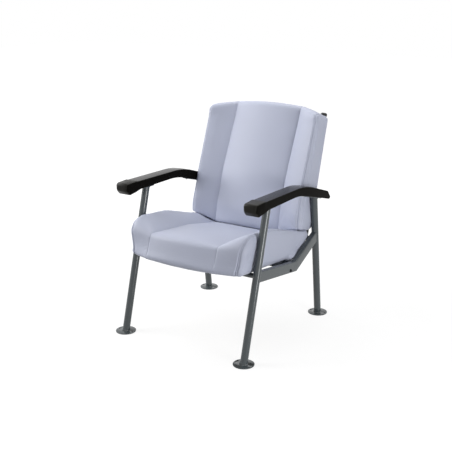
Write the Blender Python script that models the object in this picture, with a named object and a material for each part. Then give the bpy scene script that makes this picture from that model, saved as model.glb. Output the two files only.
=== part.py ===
"""Patient rest chair: a floor-fixed tube armchair with a padded seat and back.

Metres, +Z up. The chair faces -Y, the sitter's left is +X, and the origin is on the floor
under the middle of the chair.
"""

import math

import bmesh
import bpy
from mathutils import Vector

# Clearance between pieces that touch
GAP = 0.0003

# Width of the chair, from the cushions outwards
CUSHION_WIDTH = 0.568
CREASE_X = 0.17
RAIL_CLEAR = 0.0145
ARM_CLEAR = 0.006
UPRIGHT_INSET = 0.034
BOARD_INSET = 0.030
BACK_BOARD_INSET = 0.014

# Seat cushion: its underside falls towards the rear, and heights are above that underside
SEAT_FRONT_Y = -0.402
SEAT_DEPTH = 0.624
SEAT_BASE_Z = 0.3353
SEAT_FALL_DEGREES = 5.484
SEAT_REAR_CHAMFER = 0.107
SEAT_CROWN = 0.006
PANEL_FRONT_BOW = 0.014
PANEL_FRONT_RAKE = 0.036
PANEL_FRONT_HEIGHT = 0.101
PANEL_BEND_SETBACK = 0.306
PANEL_BEND_HEIGHT = 0.1026
PANEL_REAR_SETBACK = 0.031
PANEL_REAR_HEIGHT = 0.075
PANEL_FRONT_ROUND = 0.016
BOLSTER_SETBACK = 0.054
BOLSTER_FRONT_RAKE = 0.016
BOLSTER_FRONT_HEIGHT = 0.162
BOLSTER_BEND_SETBACK = 0.342
BOLSTER_BEND_HEIGHT = 0.167
BOLSTER_REAR_HEIGHT = 0.099
BOLSTER_FRONT_ROUND = 0.075

# Back cushion: depths are measured forward from its rear face, at the foot, lumbar, shoulder and top
BACK_CLEAR = 0.0012
BACK_LEAN_DEGREES = 15.717
LUMBAR_Z = 0.50
SHOULDER_Z = 0.65
BACK_MIDDLE_DEPTHS = (0.131, 0.140, 0.128, 0.067)
BACK_CREASE_DEPTHS = (0.095, 0.104, 0.098, 0.045)
BACK_WING_DEPTHS = (0.128, 0.143, 0.150, 0.122)
BACK_MIDDLE_TOP = 0.968
BACK_CREASE_TOP = 0.958
BACK_WING_TOP = 0.938
BACK_TOP_FALL = 0.018
WING_TOP_FALL = 0.029
WING_FOOT_LIFT = 0.018

# Rounding of the cushions
SEAT_BEND_ROUND = 0.30
BACK_BEND_ROUND = 0.25
EDGE_ROUND = 0.018
FOOT_ROUND = 0.008
SIDE_ROLL = 0.016
BOARD_EDGE_ROLL = 0.35
SIDE_DRAW = 0.005
DRAW_HEIGHT = 0.06

# Boards under the cushions
BOARD_THICK = 0.012
BOARD_CORNER = 0.03
BACK_BOARD_FOOT_Z = 0.455
BACK_BOARD_TOP_Z = 0.895

# Legs and their floor flanges
LEG_D = 0.032
LEG_WALL = 0.002
FRONT_FOOT_SETBACK = 0.026
FRONT_LEAN_DEGREES = 15.323
REAR_LEAN_DEGREES = -7.407
FLANGE_D = 0.090
FLANGE_THICK = 0.004
FLANGE_HOLE_D = 0.007
FLANGE_HOLE_MARGIN = 0.009

# Side rails of rectangular tube, with a kink in front of the rear legs
RAIL_WIDTH = 0.025
RAIL_HEIGHT = 0.045
RAIL_WALL = 0.002
RAIL_CORNER = 0.004
RAIL_FRONT_Z = 0.3495
KINK_SETBACK = 0.197
KINK_Z = 0.3045
RAIL_REAR_Z = 0.396

# Cross tubes
CROSS_D = 0.022
CROSS_WALL = 0.0015
CROSS_LEG_CLEAR = 0.020
REAR_CROSS_Z = 0.370
REAR_CROSS_CLEAR = 0.020
REAR_LEG_OFFSET = 0.013

# Back uprights and their caps
UPRIGHT_D = 0.028
UPRIGHT_WALL = 0.0015
UPRIGHT_TOP_Z = 0.915
CAP_RIM = 0.0015
CAP_SKIRT = 0.004
CAP_DOME = 0.009
CAP_PLUG = 0.015

# Armrests: the height of their underside, and the corners of their side outline above it
ARM_WIDTH = 0.065
ARM_ROLL = 0.007
ARM_Z = 0.634

# Armrest corners as (y, z), with y from the top of the front leg
ARM_UNDER_FRONT = (-0.0597, 0)
NOSE_FOOT = (-0.1337, -0.0165)
NOSE_FRONT = (-0.1602, 0.006)
NOSE_TOP = (-0.1562, 0.041)

# Armrest corners as (y, z), with y from the top of the rear leg
ARM_TOP_BEND = (-0.1607, 0.038)
ARM_REAR_TOP = (0.0613, -0.031)
ARM_REAR_FOOT = (0.0883, -0.064)
ARM_UNDER_REAR = (0.0773, -0.072)
ARM_UNDER_BEND = (-0.2017, 0.003)

# Rounding of the armrests
NOSE_ROUND = 0.014
ARM_BEND_ROUND = 0.40
ARM_THROAT_ROUND = 0.06
ARM_REAR_ROUND = 0.008

# Steel plates between the legs and the armrests
PLATE_WIDTH = 0.036
PLATE_THICK = 0.003
PLATE_CORNER = 0.005
FRONT_PLATE_REACH = (0.037, 0.037)
REAR_PLATE_REACH = (0.125, 0.042)
PLATE_SCREW_EDGE = 0.011

# Brackets that carry the seat board on the rails
BRACKET_SETBACK = 0.079
BRACKET_LENGTH = 0.15
BRACKET_LEDGE = 0.066
BRACKET_THICK = 0.004
BRACKET_SCREW_EDGE = 0.015
BRACKET_BOLT_EDGE = 0.012

# Fasteners
BOLT_SETBACK = 0.019
BOLT_DROP = 0.011
BOLT_HEAD_D = 0.013
BOLT_HEAD_HEIGHT = 0.0045
BOLT_D = 0.008
BOLT_TAIL = 0.003
NUT_D = 0.015
NUT_HEIGHT = 0.0065
SCREW_HEAD_D = 0.009
SCREW_HEAD_HEIGHT = 0.003
SCREW_D = 0.0045
SCREW_TIP = 0.004
BOARD_BITE = 0.009
ARM_BITE = 0.018
FRONT_SEAT_SCREW_X = 0.15
BACK_SCREW_MARGIN = 0.06

# Facets
TUBE_STEPS = 24
SCREW_STEPS = 12
FLANGE_STEPS = 36
ARC_STEPS = 5
ARM_ARC_STEPS = 3
PLAN_ARC_STEPS = 3
ROLL_STEPS = 3
BORE_STEPS = 12
PANEL_STEPS = 5
BOLSTER_STEPS = 4
RAIL_FACE_STEPS = 6
TIGHT_ROUND = 0.001
MOST_OF_AN_EDGE = 0.75
NUT_SIDES = 6
DOME_DEGREES = (0, 25, 50, 75)
SHARP_DEGREES = 40

# Corners of the cushions' side outlines that lie on their boards
SEAT_BOARD_CORNERS = (0, 1)
BACK_BOARD_CORNERS = (0, 5)

# Slopes that follow from the angles above
SEAT_FALL = math.tan(math.radians(SEAT_FALL_DEGREES))
BACK_LEAN = math.tan(math.radians(BACK_LEAN_DEGREES))
FRONT_LEAN = math.tan(math.radians(FRONT_LEAN_DEGREES))
REAR_LEAN = math.tan(math.radians(REAR_LEAN_DEGREES))

# Places that follow from the sizes above
HALF_CUSHION = CUSHION_WIDTH / 2
RAIL_INNER_X = HALF_CUSHION + RAIL_CLEAR
LEG_X = RAIL_INNER_X + RAIL_WIDTH / 2
RAIL_OUTER_X = RAIL_INNER_X + RAIL_WIDTH
UPRIGHT_X = HALF_CUSHION - UPRIGHT_INSET
SEAT_REAR_Y = SEAT_FRONT_Y + SEAT_DEPTH
REAR_CROSS_Y = SEAT_REAR_Y + REAR_CROSS_CLEAR + CROSS_D / 2
FRONT_FOOT_Y = SEAT_FRONT_Y + FRONT_FOOT_SETBACK
REAR_FOOT_Y = REAR_CROSS_Y - REAR_LEG_OFFSET - REAR_LEAN * REAR_CROSS_Z
FRONT_LEG_TOP_Y = FRONT_FOOT_Y + FRONT_LEAN * ARM_Z
REAR_LEG_TOP_Y = REAR_FOOT_Y + REAR_LEAN * ARM_Z
BOARD_FRONT_Y = SEAT_FRONT_Y + BOLSTER_SETBACK + BOARD_INSET
BOARD_REAR_Y = SEAT_REAR_Y - SEAT_REAR_CHAMFER - BOARD_INSET
BRACKET_Y = BOARD_REAR_Y - BRACKET_SETBACK
BOLT_Y = BRACKET_Y - BOLT_SETBACK
FRONT_WAY = Vector((0, FRONT_LEAN, 1)).normalized()
REAR_WAY = Vector((0, REAR_LEAN, 1)).normalized()
UPRIGHT_WAY = Vector((0, BACK_LEAN, 1)).normalized()
BOARD_WAY = Vector((0, 1, -SEAT_FALL)).normalized()
BOARD_NORMAL = Vector((0, SEAT_FALL, 1)).normalized()
BACK_NORMAL = Vector((0, -1, BACK_LEAN)).normalized()
ACROSS = Vector((1, 0, 0))
UP = Vector((0, 0, 1))
SIDES = (("left", 1), ("right", -1))

chair = None


def clear_scene():
    for obj in list(bpy.data.objects):
        bpy.data.objects.remove(obj)


def linear(channel):
    return channel / 12.92 if channel <= 0.04045 else ((channel + 0.055) / 1.055) ** 2.4


def material(name, hex_colour, roughness, metallic=0.0):
    made = bpy.data.materials.new(name)
    made.use_nodes = True
    shader = made.node_tree.nodes["Principled BSDF"]
    channels = [linear(int(hex_colour[i : i + 2], 16) / 255) for i in (0, 2, 4)]
    shader.inputs["Base Color"].default_value = (*channels, 1)
    shader.inputs["Roughness"].default_value = roughness
    shader.inputs["Metallic"].default_value = metallic
    return made


def solid(name, rings, finish, bored=False):
    """A closed mesh through rings of points, with filled ends, or bored right through."""
    bm = bmesh.new()
    loops = [[bm.verts.new(point) for point in ring] for ring in rings]
    pairs = list(zip(loops, loops[1:]))
    if bored:
        pairs.append((loops[-1], loops[0]))
    else:
        bm.faces.new(loops[0])
        bm.faces.new(loops[-1])
    for low, high in pairs:
        for i in range(len(low)):
            j = (i + 1) % len(low)
            bm.faces.new((low[i], low[j], high[j], high[i]))
    bmesh.ops.recalc_face_normals(bm, faces=bm.faces)
    mesh = bpy.data.meshes.new(name)
    bm.to_mesh(mesh)
    bm.free()
    mesh.shade_smooth()
    mesh.set_sharp_from_angle(angle=math.radians(SHARP_DEGREES))
    obj = bpy.data.objects.new(name, mesh)
    bpy.context.scene.collection.objects.link(obj)
    obj.parent = chair
    if finish:
        mesh.materials.append(finish)
    return obj


def rounded(corners, steps):
    """A closed outline with an arc at each corner, given as (a, b, radius)."""
    points = []
    for i, (a, b, radius) in enumerate(corners):
        corner = Vector((a, b))
        before = Vector(corners[i - 1][:2]) - corner
        after = Vector(corners[(i + 1) % len(corners)][:2]) - corner
        half = before.angle(after) / 2
        run = min(radius / math.tan(half), MOST_OF_AN_EDGE * min(before.length, after.length))
        start = corner + before.normalized() * run
        end = corner + after.normalized() * run
        centre = corner + (before.normalized() + after.normalized()).normalized() * run / math.cos(half)
        sweep = (start - centre).angle_signed(end - centre)
        for step in range(steps + 1):
            turn = -sweep * step / steps
            arm = start - centre
            points.append(
                centre
                + Vector((
                    arm.x * math.cos(turn) - arm.y * math.sin(turn),
                    arm.x * math.sin(turn) + arm.y * math.cos(turn),
                ))
            )
    return points


def inset(corners, distance, held=()):
    """The outline drawn in by a distance, less at held corners. Its inside lies to the right."""
    drawn = []
    for i, (a, b, radius) in enumerate(corners):
        reach = distance * (BOARD_EDGE_ROLL if i in held else 1)
        corner = Vector((a, b))
        before = (corner - Vector(corners[i - 1][:2])).normalized()
        after = (Vector(corners[(i + 1) % len(corners)][:2]) - corner).normalized()
        first = Vector((before.y, -before.x))
        second = Vector((after.y, -after.x))
        moved = corner + (first + second) * reach / (1 + first.dot(second))
        bulges = before.x * after.y - before.y * after.x < 0
        drawn.append((moved.x, moved.y, max(radius + (-reach if bulges else reach), TIGHT_ROUND)))
    return drawn


def mix(first, second, share):
    """An outline between two outlines that have the same corners."""
    return [tuple(p + (q - p) * share for p, q in zip(a, b)) for a, b in zip(first, second)]


def round_loop(radius, steps):
    turns = [2 * math.pi * i / steps for i in range(steps)]
    return [Vector((radius * math.cos(turn), radius * math.sin(turn))) for turn in turns]


def rail_loop(width, height, radius):
    """A rectangle with round corners, with extra points across its width for the coped ends."""
    half_w = width / 2
    half_h = height / 2
    corners = [(-half_w, -half_h), (-half_w, half_h), (half_w, half_h), (half_w, -half_h)]
    outline = rounded([(a, b, radius) for a, b in corners], PLAN_ARC_STEPS)
    loop = []
    for i, point in enumerate(outline):
        loop.append(point)
        after = outline[(i + 1) % len(outline)]
        if abs(after.x - point.x) > width / 2:
            loop += [point.lerp(after, step / RAIL_FACE_STEPS) for step in range(1, RAIL_FACE_STEPS)]
    return loop


def to_plane(point, normal):
    """How far a line runs before it meets a plane."""
    return lambda start, way: (point - start).dot(normal) / way.dot(normal)


def to_tube(point, axis, radius):
    """How far a line runs before it meets a round tube, for a coped end."""

    def distance(start, way):
        across = way - axis * way.dot(axis)
        offset = start - point - axis * (start - point).dot(axis)
        towards = offset.dot(across)
        inside = towards**2 - across.length_squared * (offset.length_squared - radius**2)
        if inside <= 0:
            return math.inf
        return (-towards - math.sqrt(inside)) / across.length_squared

    return distance


def square_to(way):
    """Two directions square to a way that runs either across the chair or along its middle plane."""
    side = UP if way.x else ACROSS
    return side, way.cross(side)


def tube(name, loops, middle, way, start_cuts, end_cuts, finish):
    """A hollow tube through a middle point, with each end cut by the first surface it meets."""
    side, rise = square_to(way)

    def ring(loop, out, cuts):
        starts = [middle + side * p.x + rise * p.y for p in loop]
        return [start + out * min(cut(start, out) for cut in cuts) for start in starts]

    outer, inner = loops
    rings = [
        ring(outer, -way, start_cuts),
        ring(outer, way, end_cuts),
        ring(inner, way, end_cuts),
        ring(inner, -way, start_cuts),
    ]
    return solid(name, rings, finish, bored=True)


def round_tube_loops(diameter, wall):
    return round_loop(diameter / 2, TUBE_STEPS), round_loop(diameter / 2 - wall, TUBE_STEPS)


def turned(name, profile, base, way, finish, steps=SCREW_STEPS):
    """A turned solid: the profile is (radius, distance along the axis)."""
    side, rise = square_to(way)
    rings = [
        [base + way * run + side * p.x + rise * p.y for p in round_loop(radius, steps)]
        for radius, run in profile
    ]
    return solid(name, rings, finish)


def dome(radius, height):
    """Points of a low dome, from its rim to its top, as (radius, height)."""
    turns = [math.radians(degrees) for degrees in DOME_DEGREES]
    return [(radius * math.cos(turn), height * math.sin(turn)) for turn in turns]


def slab(name, outline, origin, first, second, depth, finish):
    """A flat piece: an outline in the plane of two directions, with a depth."""
    face = [origin + first * p.x + second * p.y for p in outline]
    return solid(name, [face, [point + depth for point in face]], finish)


def bore(piece, start, way, diameter, length):
    """A round hole through or into a piece."""
    cutter = turned(
        f"{piece.name}_bore", [(diameter / 2, 0), (diameter / 2, length)], start, way, None, BORE_STEPS
    )
    cutter.hide_render = True
    cutter.display_type = "WIRE"
    cut = piece.modifiers.new("bore", "BOOLEAN")
    cut.operation = "DIFFERENCE"
    cut.object = cutter


def screw(name, seat, way, length, pieces, finish):
    """A pan-head screw driven from a seat through or into pieces, each bored for it."""
    head = SCREW_HEAD_D / 2
    shank = SCREW_D / 2
    profile = [
        (head / 2, -GAP - SCREW_HEAD_HEIGHT),
        (head, -GAP - SCREW_HEAD_HEIGHT / 2),
        (head, -GAP),
        (shank, -GAP),
        (shank, length - SCREW_TIP),
        (shank / 2, length),
    ]
    turned(name, profile, seat, way, finish)
    start = seat - way * SCREW_HEAD_HEIGHT
    for piece in pieces:
        bore(piece, start, way, SCREW_D + 2 * GAP, SCREW_HEAD_HEIGHT + length + GAP)


def seat_base(y):
    return SEAT_BASE_Z - SEAT_FALL * y


def seat_corner(y, height, radius):
    return y, seat_base(y) + height, radius


def seat_outlines():
    """Side outlines of the seat at its middle, creases and outer edges, from the rear foot."""
    rear_foot = seat_corner(SEAT_REAR_Y - SEAT_REAR_CHAMFER, 0, FOOT_ROUND)
    crease_y = SEAT_FRONT_Y + PANEL_FRONT_BOW
    edge_y = SEAT_FRONT_Y + BOLSTER_SETBACK
    crease = [
        rear_foot,
        seat_corner(crease_y, 0, FOOT_ROUND),
        seat_corner(crease_y + PANEL_FRONT_RAKE, PANEL_FRONT_HEIGHT, PANEL_FRONT_ROUND),
        seat_corner(SEAT_REAR_Y - PANEL_BEND_SETBACK, PANEL_BEND_HEIGHT, SEAT_BEND_ROUND),
        seat_corner(SEAT_REAR_Y - PANEL_REAR_SETBACK, PANEL_REAR_HEIGHT, EDGE_ROUND),
    ]
    middle = [(y, z + SEAT_CROWN, radius) for y, z, radius in crease]
    middle[0] = rear_foot
    middle[1] = seat_corner(SEAT_FRONT_Y, 0, FOOT_ROUND)
    middle_front_height = PANEL_FRONT_HEIGHT + SEAT_CROWN
    middle[2] = seat_corner(SEAT_FRONT_Y + PANEL_FRONT_RAKE, middle_front_height, PANEL_FRONT_ROUND)
    edge = [
        rear_foot,
        seat_corner(edge_y, 0, FOOT_ROUND),
        seat_corner(edge_y + BOLSTER_FRONT_RAKE, BOLSTER_FRONT_HEIGHT, BOLSTER_FRONT_ROUND),
        seat_corner(SEAT_REAR_Y - BOLSTER_BEND_SETBACK, BOLSTER_BEND_HEIGHT, SEAT_BEND_ROUND),
        seat_corner(SEAT_REAR_Y, BOLSTER_REAR_HEIGHT, EDGE_ROUND),
    ]
    return middle, crease, edge


def upright_y(z):
    return REAR_CROSS_Y + BACK_LEAN * (z - REAR_CROSS_Z)


def back_rear_y(z):
    """The rear face of the back cushion, which lies on its board in front of the uprights."""
    return upright_y(z) - (UPRIGHT_D / 2 + BOARD_THICK + 2 * GAP) / UPRIGHT_WAY.z


def back_foot_z(depth, seat_outline):
    """Where the back's foot at this depth clears the rear slope of the seat under it."""
    bend, rear = seat_outline[3:5]
    slope = (rear[1] - bend[1]) / (rear[0] - bend[0])
    at_floor = bend[1] - slope * bend[0] + BACK_CLEAR
    return (at_floor + slope * (back_rear_y(0) - depth)) / (1 - slope * BACK_LEAN)


def back_outline(depths, top, top_fall, foot_lift, seat_outline):
    """A side outline of the back, from its rear foot round over the front."""
    foot, lumbar, shoulder, crown = depths
    rear_z = back_foot_z(0, seat_outline) + foot_lift
    foot_z = back_foot_z(foot, seat_outline)
    return [
        (back_rear_y(rear_z), rear_z, FOOT_ROUND),
        (back_rear_y(foot_z) - foot, foot_z, FOOT_ROUND),
        (back_rear_y(LUMBAR_Z) - lumbar, LUMBAR_Z, BACK_BEND_ROUND),
        (back_rear_y(SHOULDER_Z) - shoulder, SHOULDER_Z, BACK_BEND_ROUND),
        (back_rear_y(top) - crown, top, EDGE_ROUND),
        (back_rear_y(top - top_fall), top - top_fall, FOOT_ROUND),
    ]


def cushion(name, outlines, held, board_distance, finish):
    """A padded form: a crowned middle panel, a crease on each side, and bolsters with rolled sides."""
    middle, crease, edge = outlines
    flat_half = HALF_CUSHION - SIDE_ROLL
    stops = [(CREASE_X * step / PANEL_STEPS, 0) for step in range(PANEL_STEPS)]
    stops += [
        (CREASE_X + (flat_half - CREASE_X) * step / BOLSTER_STEPS, 0) for step in range(BOLSTER_STEPS)
    ]
    for step in range(ROLL_STEPS + 1):
        turn = math.pi / 2 * step / ROLL_STEPS
        stops.append((flat_half + SIDE_ROLL * math.sin(turn), SIDE_ROLL * (1 - math.cos(turn))))
    rings = []
    for x, drawn in [(-x, drawn) for x, drawn in reversed(stops[1:])] + stops:
        if abs(x) < CREASE_X:
            outline = mix(crease, middle, 1 - (x / CREASE_X) ** 2)
        else:
            outline = mix(crease, edge, (abs(x) - CREASE_X) / (HALF_CUSHION - CREASE_X))
        ring = []
        for point in rounded(inset(outline, drawn, held), ARC_STEPS):
            low = max(0, 1 - board_distance(point) / DRAW_HEIGHT)
            ring.append(Vector((x * (1 - SIDE_DRAW / HALF_CUSHION * low**2), point.x, point.y)))
        rings.append(ring)
    return solid(name, rings, finish)


def seat_cushion(finish):
    return cushion(
        "seat_cushion",
        seat_outlines(),
        SEAT_BOARD_CORNERS,
        lambda p: p.y - seat_base(p.x),
        finish,
    )


def back_cushion(finish):
    seat_middle, seat_crease, seat_edge = seat_outlines()
    outlines = (
        back_outline(BACK_MIDDLE_DEPTHS, BACK_MIDDLE_TOP, BACK_TOP_FALL, 0, seat_middle),
        back_outline(BACK_CREASE_DEPTHS, BACK_CREASE_TOP, BACK_TOP_FALL, 0, seat_crease),
        back_outline(BACK_WING_DEPTHS, BACK_WING_TOP, WING_TOP_FALL, WING_FOOT_LIFT, seat_edge),
    )
    return cushion(
        "back_cushion",
        outlines,
        BACK_BOARD_CORNERS,
        lambda p: back_rear_y(p.y) - p.x,
        finish,
    )


def board_outline(half_width, start, end):
    corners = [(-half_width, start), (-half_width, end), (half_width, end), (half_width, start)]
    return rounded([(a, b, BOARD_CORNER) for a, b in corners], PLAN_ARC_STEPS)


def seat_board(finish):
    """A plywood board under the seat, drawn in from its edges."""
    top = Vector((0, 0, SEAT_BASE_Z)) - BOARD_NORMAL * GAP
    start = BOARD_FRONT_Y / BOARD_WAY.y
    end = BOARD_REAR_Y / BOARD_WAY.y
    outline = board_outline(HALF_CUSHION - BOARD_INSET, start, end)
    return slab("seat_board", outline, top, ACROSS, BOARD_WAY, -BOARD_NORMAL * BOARD_THICK, finish)


def back_board(finish):
    """A plywood board between the back cushion and the uprights."""
    front = Vector((0, back_rear_y(0), 0)) - BACK_NORMAL * GAP
    start = BACK_BOARD_FOOT_Z / UPRIGHT_WAY.z
    end = BACK_BOARD_TOP_Z / UPRIGHT_WAY.z
    outline = board_outline(HALF_CUSHION - BACK_BOARD_INSET, start, end)
    return slab("back_board", outline, front, ACROSS, UPRIGHT_WAY, -BACK_NORMAL * BOARD_THICK, finish)


def board_underside():
    return Vector((0, 0, SEAT_BASE_Z)) - BOARD_NORMAL * (BOARD_THICK + GAP)


def leg_axis_y(foot_y, lean, z):
    return foot_y + lean * z


def by_front_leg(corner):
    return FRONT_LEG_TOP_Y + corner[0], ARM_Z + corner[1]


def by_rear_leg(corner):
    return REAR_LEG_TOP_Y + corner[0], ARM_Z + corner[1]


def arm_plane(front, rear):
    """The direction along a stretch of the armrest's underside, and its normal that points down."""
    along = Vector((0, rear[0] - front[0], rear[1] - front[1])).normalized()
    return along, Vector((0, along.z, -along.y))


def armrest(side, sign, finish):
    """A moulded armrest: a deep round nose, a level pad, and a rear end that falls away."""
    corners = [
        (*by_rear_leg(ARM_UNDER_REAR), ARM_REAR_ROUND),
        (*by_rear_leg(ARM_UNDER_BEND), ARM_BEND_ROUND),
        (*by_front_leg(ARM_UNDER_FRONT), ARM_THROAT_ROUND),
        (*by_front_leg(NOSE_FOOT), NOSE_ROUND),
        (*by_front_leg(NOSE_FRONT), NOSE_ROUND),
        (*by_front_leg(NOSE_TOP), NOSE_ROUND),
        (*by_rear_leg(ARM_TOP_BEND), ARM_BEND_ROUND),
        (*by_rear_leg(ARM_REAR_TOP), NOSE_ROUND),
        (*by_rear_leg(ARM_REAR_FOOT), ARM_REAR_ROUND),
    ]
    inner = HALF_CUSHION + ARM_CLEAR
    outer = inner + ARM_WIDTH
    stops = []
    for step in range(ROLL_STEPS + 1):
        turn = math.pi / 2 * step / ROLL_STEPS
        x = inner + ARM_ROLL * (1 - math.cos(turn))
        stops.append((x, ARM_ROLL * (1 - math.sin(turn))))
    stops += [(inner + outer - x, drawn) for x, drawn in reversed(stops)]
    rings = []
    for x, drawn in stops:
        outline = rounded(inset(corners, drawn), ARM_ARC_STEPS)
        rings.append([Vector((sign * x, p.x, p.y)) for p in outline])
    return solid(f"armrest_{side}", rings, finish)


def flange(name, x, y, finish):
    """A round floor flange with two screw holes in line across the chair."""
    profile = [(FLANGE_D / 2, 0), (FLANGE_D / 2, FLANGE_THICK)]
    made = turned(name, profile, Vector((x, y, 0)), UP, finish, FLANGE_STEPS)
    for way in (-1, 1):
        hole_x = x + way * (FLANGE_D / 2 - FLANGE_HOLE_MARGIN)
        bore(made, Vector((hole_x, y, -FLANGE_THICK)), UP, FLANGE_HOLE_D, 3 * FLANGE_THICK)


def leg_and_plate(end, side, sign, foot_y, way, underside, reach, arm, paint, zinc):
    """A leg from its flange up to a plate under the armrest, and the plate's two screws."""
    along, down = arm_plane(*underside)
    x = sign * LEG_X
    foot = Vector((x, foot_y, 0))
    on_arm = Vector((x, *underside[0]))
    plate_top = on_arm + down * GAP
    plate_foot = plate_top + down * PLATE_THICK
    seat = foot + way * to_plane(plate_foot, down)(foot, way)
    flange(f"foot_flange_{end}_{side}", x, foot_y, paint)
    tube(
        f"{end}_leg_{side}",
        round_tube_loops(LEG_D, LEG_WALL),
        (foot + seat) / 2,
        way,
        [to_plane(foot + UP * (FLANGE_THICK + GAP), UP)],
        [to_plane(plate_foot + down * GAP, down)],
        paint,
    )
    half = PLATE_WIDTH / 2
    front, rear = -reach[0], reach[1]
    corners = ((-half, front), (-half, rear), (half, rear), (half, front))
    outline = rounded([(a, b, PLATE_CORNER) for a, b in corners], PLAN_ARC_STEPS)
    plate = slab(f"{end}_arm_plate_{side}", outline, seat, ACROSS, along, -down * PLATE_THICK, paint)
    for label, run in (("front", front + PLATE_SCREW_EDGE), ("rear", rear - PLATE_SCREW_EDGE)):
        name = f"arm_screw_{end}_{side}_{label}"
        screw(name, seat + along * run, -down, PLATE_THICK + ARM_BITE, (plate, arm), zinc)


def rail_points(x):
    """The rail's centre line: its start at the front leg, its kink, and its end at the rear leg."""
    front = Vector((x, leg_axis_y(FRONT_FOOT_Y, FRONT_LEAN, RAIL_FRONT_Z), RAIL_FRONT_Z))
    rear = Vector((x, leg_axis_y(REAR_FOOT_Y, REAR_LEAN, RAIL_REAR_Z), RAIL_REAR_Z))
    return front, Vector((x, rear.y - KINK_SETBACK, KINK_Z)), rear


def rail_and_riser(side, sign, paint):
    """The sloping side rail and its riser, mitred at the kink and coped round the legs."""
    front, kink, rear = rail_points(sign * LEG_X)
    rail_way = (kink - front).normalized()
    riser_way = (rear - kink).normalized()
    mitre = (rail_way + riser_way).normalized()
    cope = LEG_D / 2 + GAP
    inner_corner = max(RAIL_CORNER - RAIL_WALL, TIGHT_ROUND)
    loops = (
        rail_loop(RAIL_WIDTH, RAIL_HEIGHT, RAIL_CORNER),
        rail_loop(RAIL_WIDTH - 2 * RAIL_WALL, RAIL_HEIGHT - 2 * RAIL_WALL, inner_corner),
    )
    rail = tube(
        f"side_rail_{side}",
        loops,
        (front + kink) / 2,
        rail_way,
        [to_tube(front, FRONT_WAY, cope)],
        [to_plane(kink - mitre * GAP / 2, mitre)],
        paint,
    )
    tube(
        f"rail_riser_{side}",
        loops,
        (kink + rear) / 2,
        riser_way,
        [to_plane(kink + mitre * GAP / 2, mitre)],
        [to_tube(rear, REAR_WAY, cope)],
        paint,
    )
    return rail


def cross_tube(name, y, z, leg_foot_y, leg_way, paint):
    """A tube across the chair, coped round the legs and kept inside the rails."""
    ends = []
    for sign in (-1, 1):
        leg = Vector((sign * LEG_X, leg_foot_y, 0))
        rail_face = Vector((sign * (RAIL_INNER_X - GAP), 0, 0))
        ends.append([to_tube(leg, leg_way, LEG_D / 2 + GAP), to_plane(rail_face, ACROSS)])
    return tube(name, round_tube_loops(CROSS_D, CROSS_WALL), Vector((0, y, z)), ACROSS, *ends, paint)


def front_cross_place():
    """The front cross tube runs between the rails, behind the front legs and under the seat board."""
    tangent = board_underside() - BOARD_NORMAL * (CROSS_D / 2 + GAP)
    behind_foot = FRONT_FOOT_Y + (LEG_D + CROSS_D) / 2 / FRONT_WAY.z + CROSS_LEG_CLEAR
    z = (tangent.z + SEAT_FALL * (tangent.y - behind_foot)) / (1 + SEAT_FALL * FRONT_LEAN)
    return leg_axis_y(behind_foot, FRONT_LEAN, z), z


def seat_bracket(side, sign, rail, board, paint, black, zinc):
    """An angle bracket from the rail's inner face to the seat board, with its bolt, nut and screws."""
    front, kink, _ = rail_points(0)
    rail_z = front.z + (kink.z - front.z) * (BOLT_Y - front.y) / (kink.y - front.y)
    bolt_z = rail_z - BOLT_DROP
    under = board_underside()
    top = under - BOARD_NORMAL * GAP
    middle = top + BOARD_WAY * ((BRACKET_Y - top.y) / BOARD_WAY.y)
    drop = middle.z - bolt_z + BRACKET_BOLT_EDGE
    wall = RAIL_INNER_X - GAP
    ledge = wall - BRACKET_LEDGE
    profile = [
        (wall, 0),
        (wall, -drop),
        (wall - BRACKET_THICK, -drop),
        (wall - BRACKET_THICK, -BRACKET_THICK),
        (ledge, -BRACKET_THICK),
        (ledge, 0),
    ]
    outline = [Vector((sign * a, b)) for a, b in profile]
    start = middle - BOARD_WAY * BRACKET_LENGTH / 2
    bracket = slab(
        f"seat_bracket_{side}", outline, start, ACROSS, BOARD_NORMAL, BOARD_WAY * BRACKET_LENGTH, paint
    )
    inward = ACROSS * -sign
    head = Vector((sign * RAIL_OUTER_X, BOLT_Y, bolt_z))
    nut_run = RAIL_WIDTH + GAP + BRACKET_THICK + GAP
    length = nut_run + NUT_HEIGHT + BOLT_TAIL
    head_dome = reversed(dome(BOLT_HEAD_D / 2, BOLT_HEAD_HEIGHT))
    bolt = [(radius, -GAP - run) for radius, run in head_dome]
    bolt += [(BOLT_D / 2, -GAP), (BOLT_D / 2, length)]
    turned(f"bracket_bolt_{side}", bolt, head, inward, black, TUBE_STEPS)
    nut_profile = [(NUT_D / 2, nut_run), (NUT_D / 2, nut_run + NUT_HEIGHT)]
    nut = turned(f"bracket_nut_{side}", nut_profile, head, inward, zinc, NUT_SIDES)
    bore_start = head - inward * BOLT_HEAD_HEIGHT
    for piece in (rail, bracket, nut):
        bore(piece, bore_start, inward, BOLT_D + 2 * GAP, length + 2 * BOLT_HEAD_HEIGHT)
    bite_x = sign * (ledge + HALF_CUSHION - BOARD_INSET) / 2
    for label, way in (("front", -1), ("rear", 1)):
        run = way * (BRACKET_LENGTH / 2 - BRACKET_SCREW_EDGE)
        seat = middle + BOARD_WAY * run - BOARD_NORMAL * BRACKET_THICK + ACROSS * bite_x
        name = f"seat_screw_{label}_{side}"
        screw(name, seat, BOARD_NORMAL, BRACKET_THICK + BOARD_BITE, (bracket, board), zinc)


def front_seat_screw(side, sign, cross, board, zinc):
    y, z = front_cross_place()
    axis = Vector((sign * FRONT_SEAT_SCREW_X, y, z))
    seat = axis - BOARD_NORMAL * CROSS_D / 2
    screw(f"seat_screw_cross_{side}", seat, BOARD_NORMAL, CROSS_D + BOARD_BITE, (cross, board), zinc)


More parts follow.
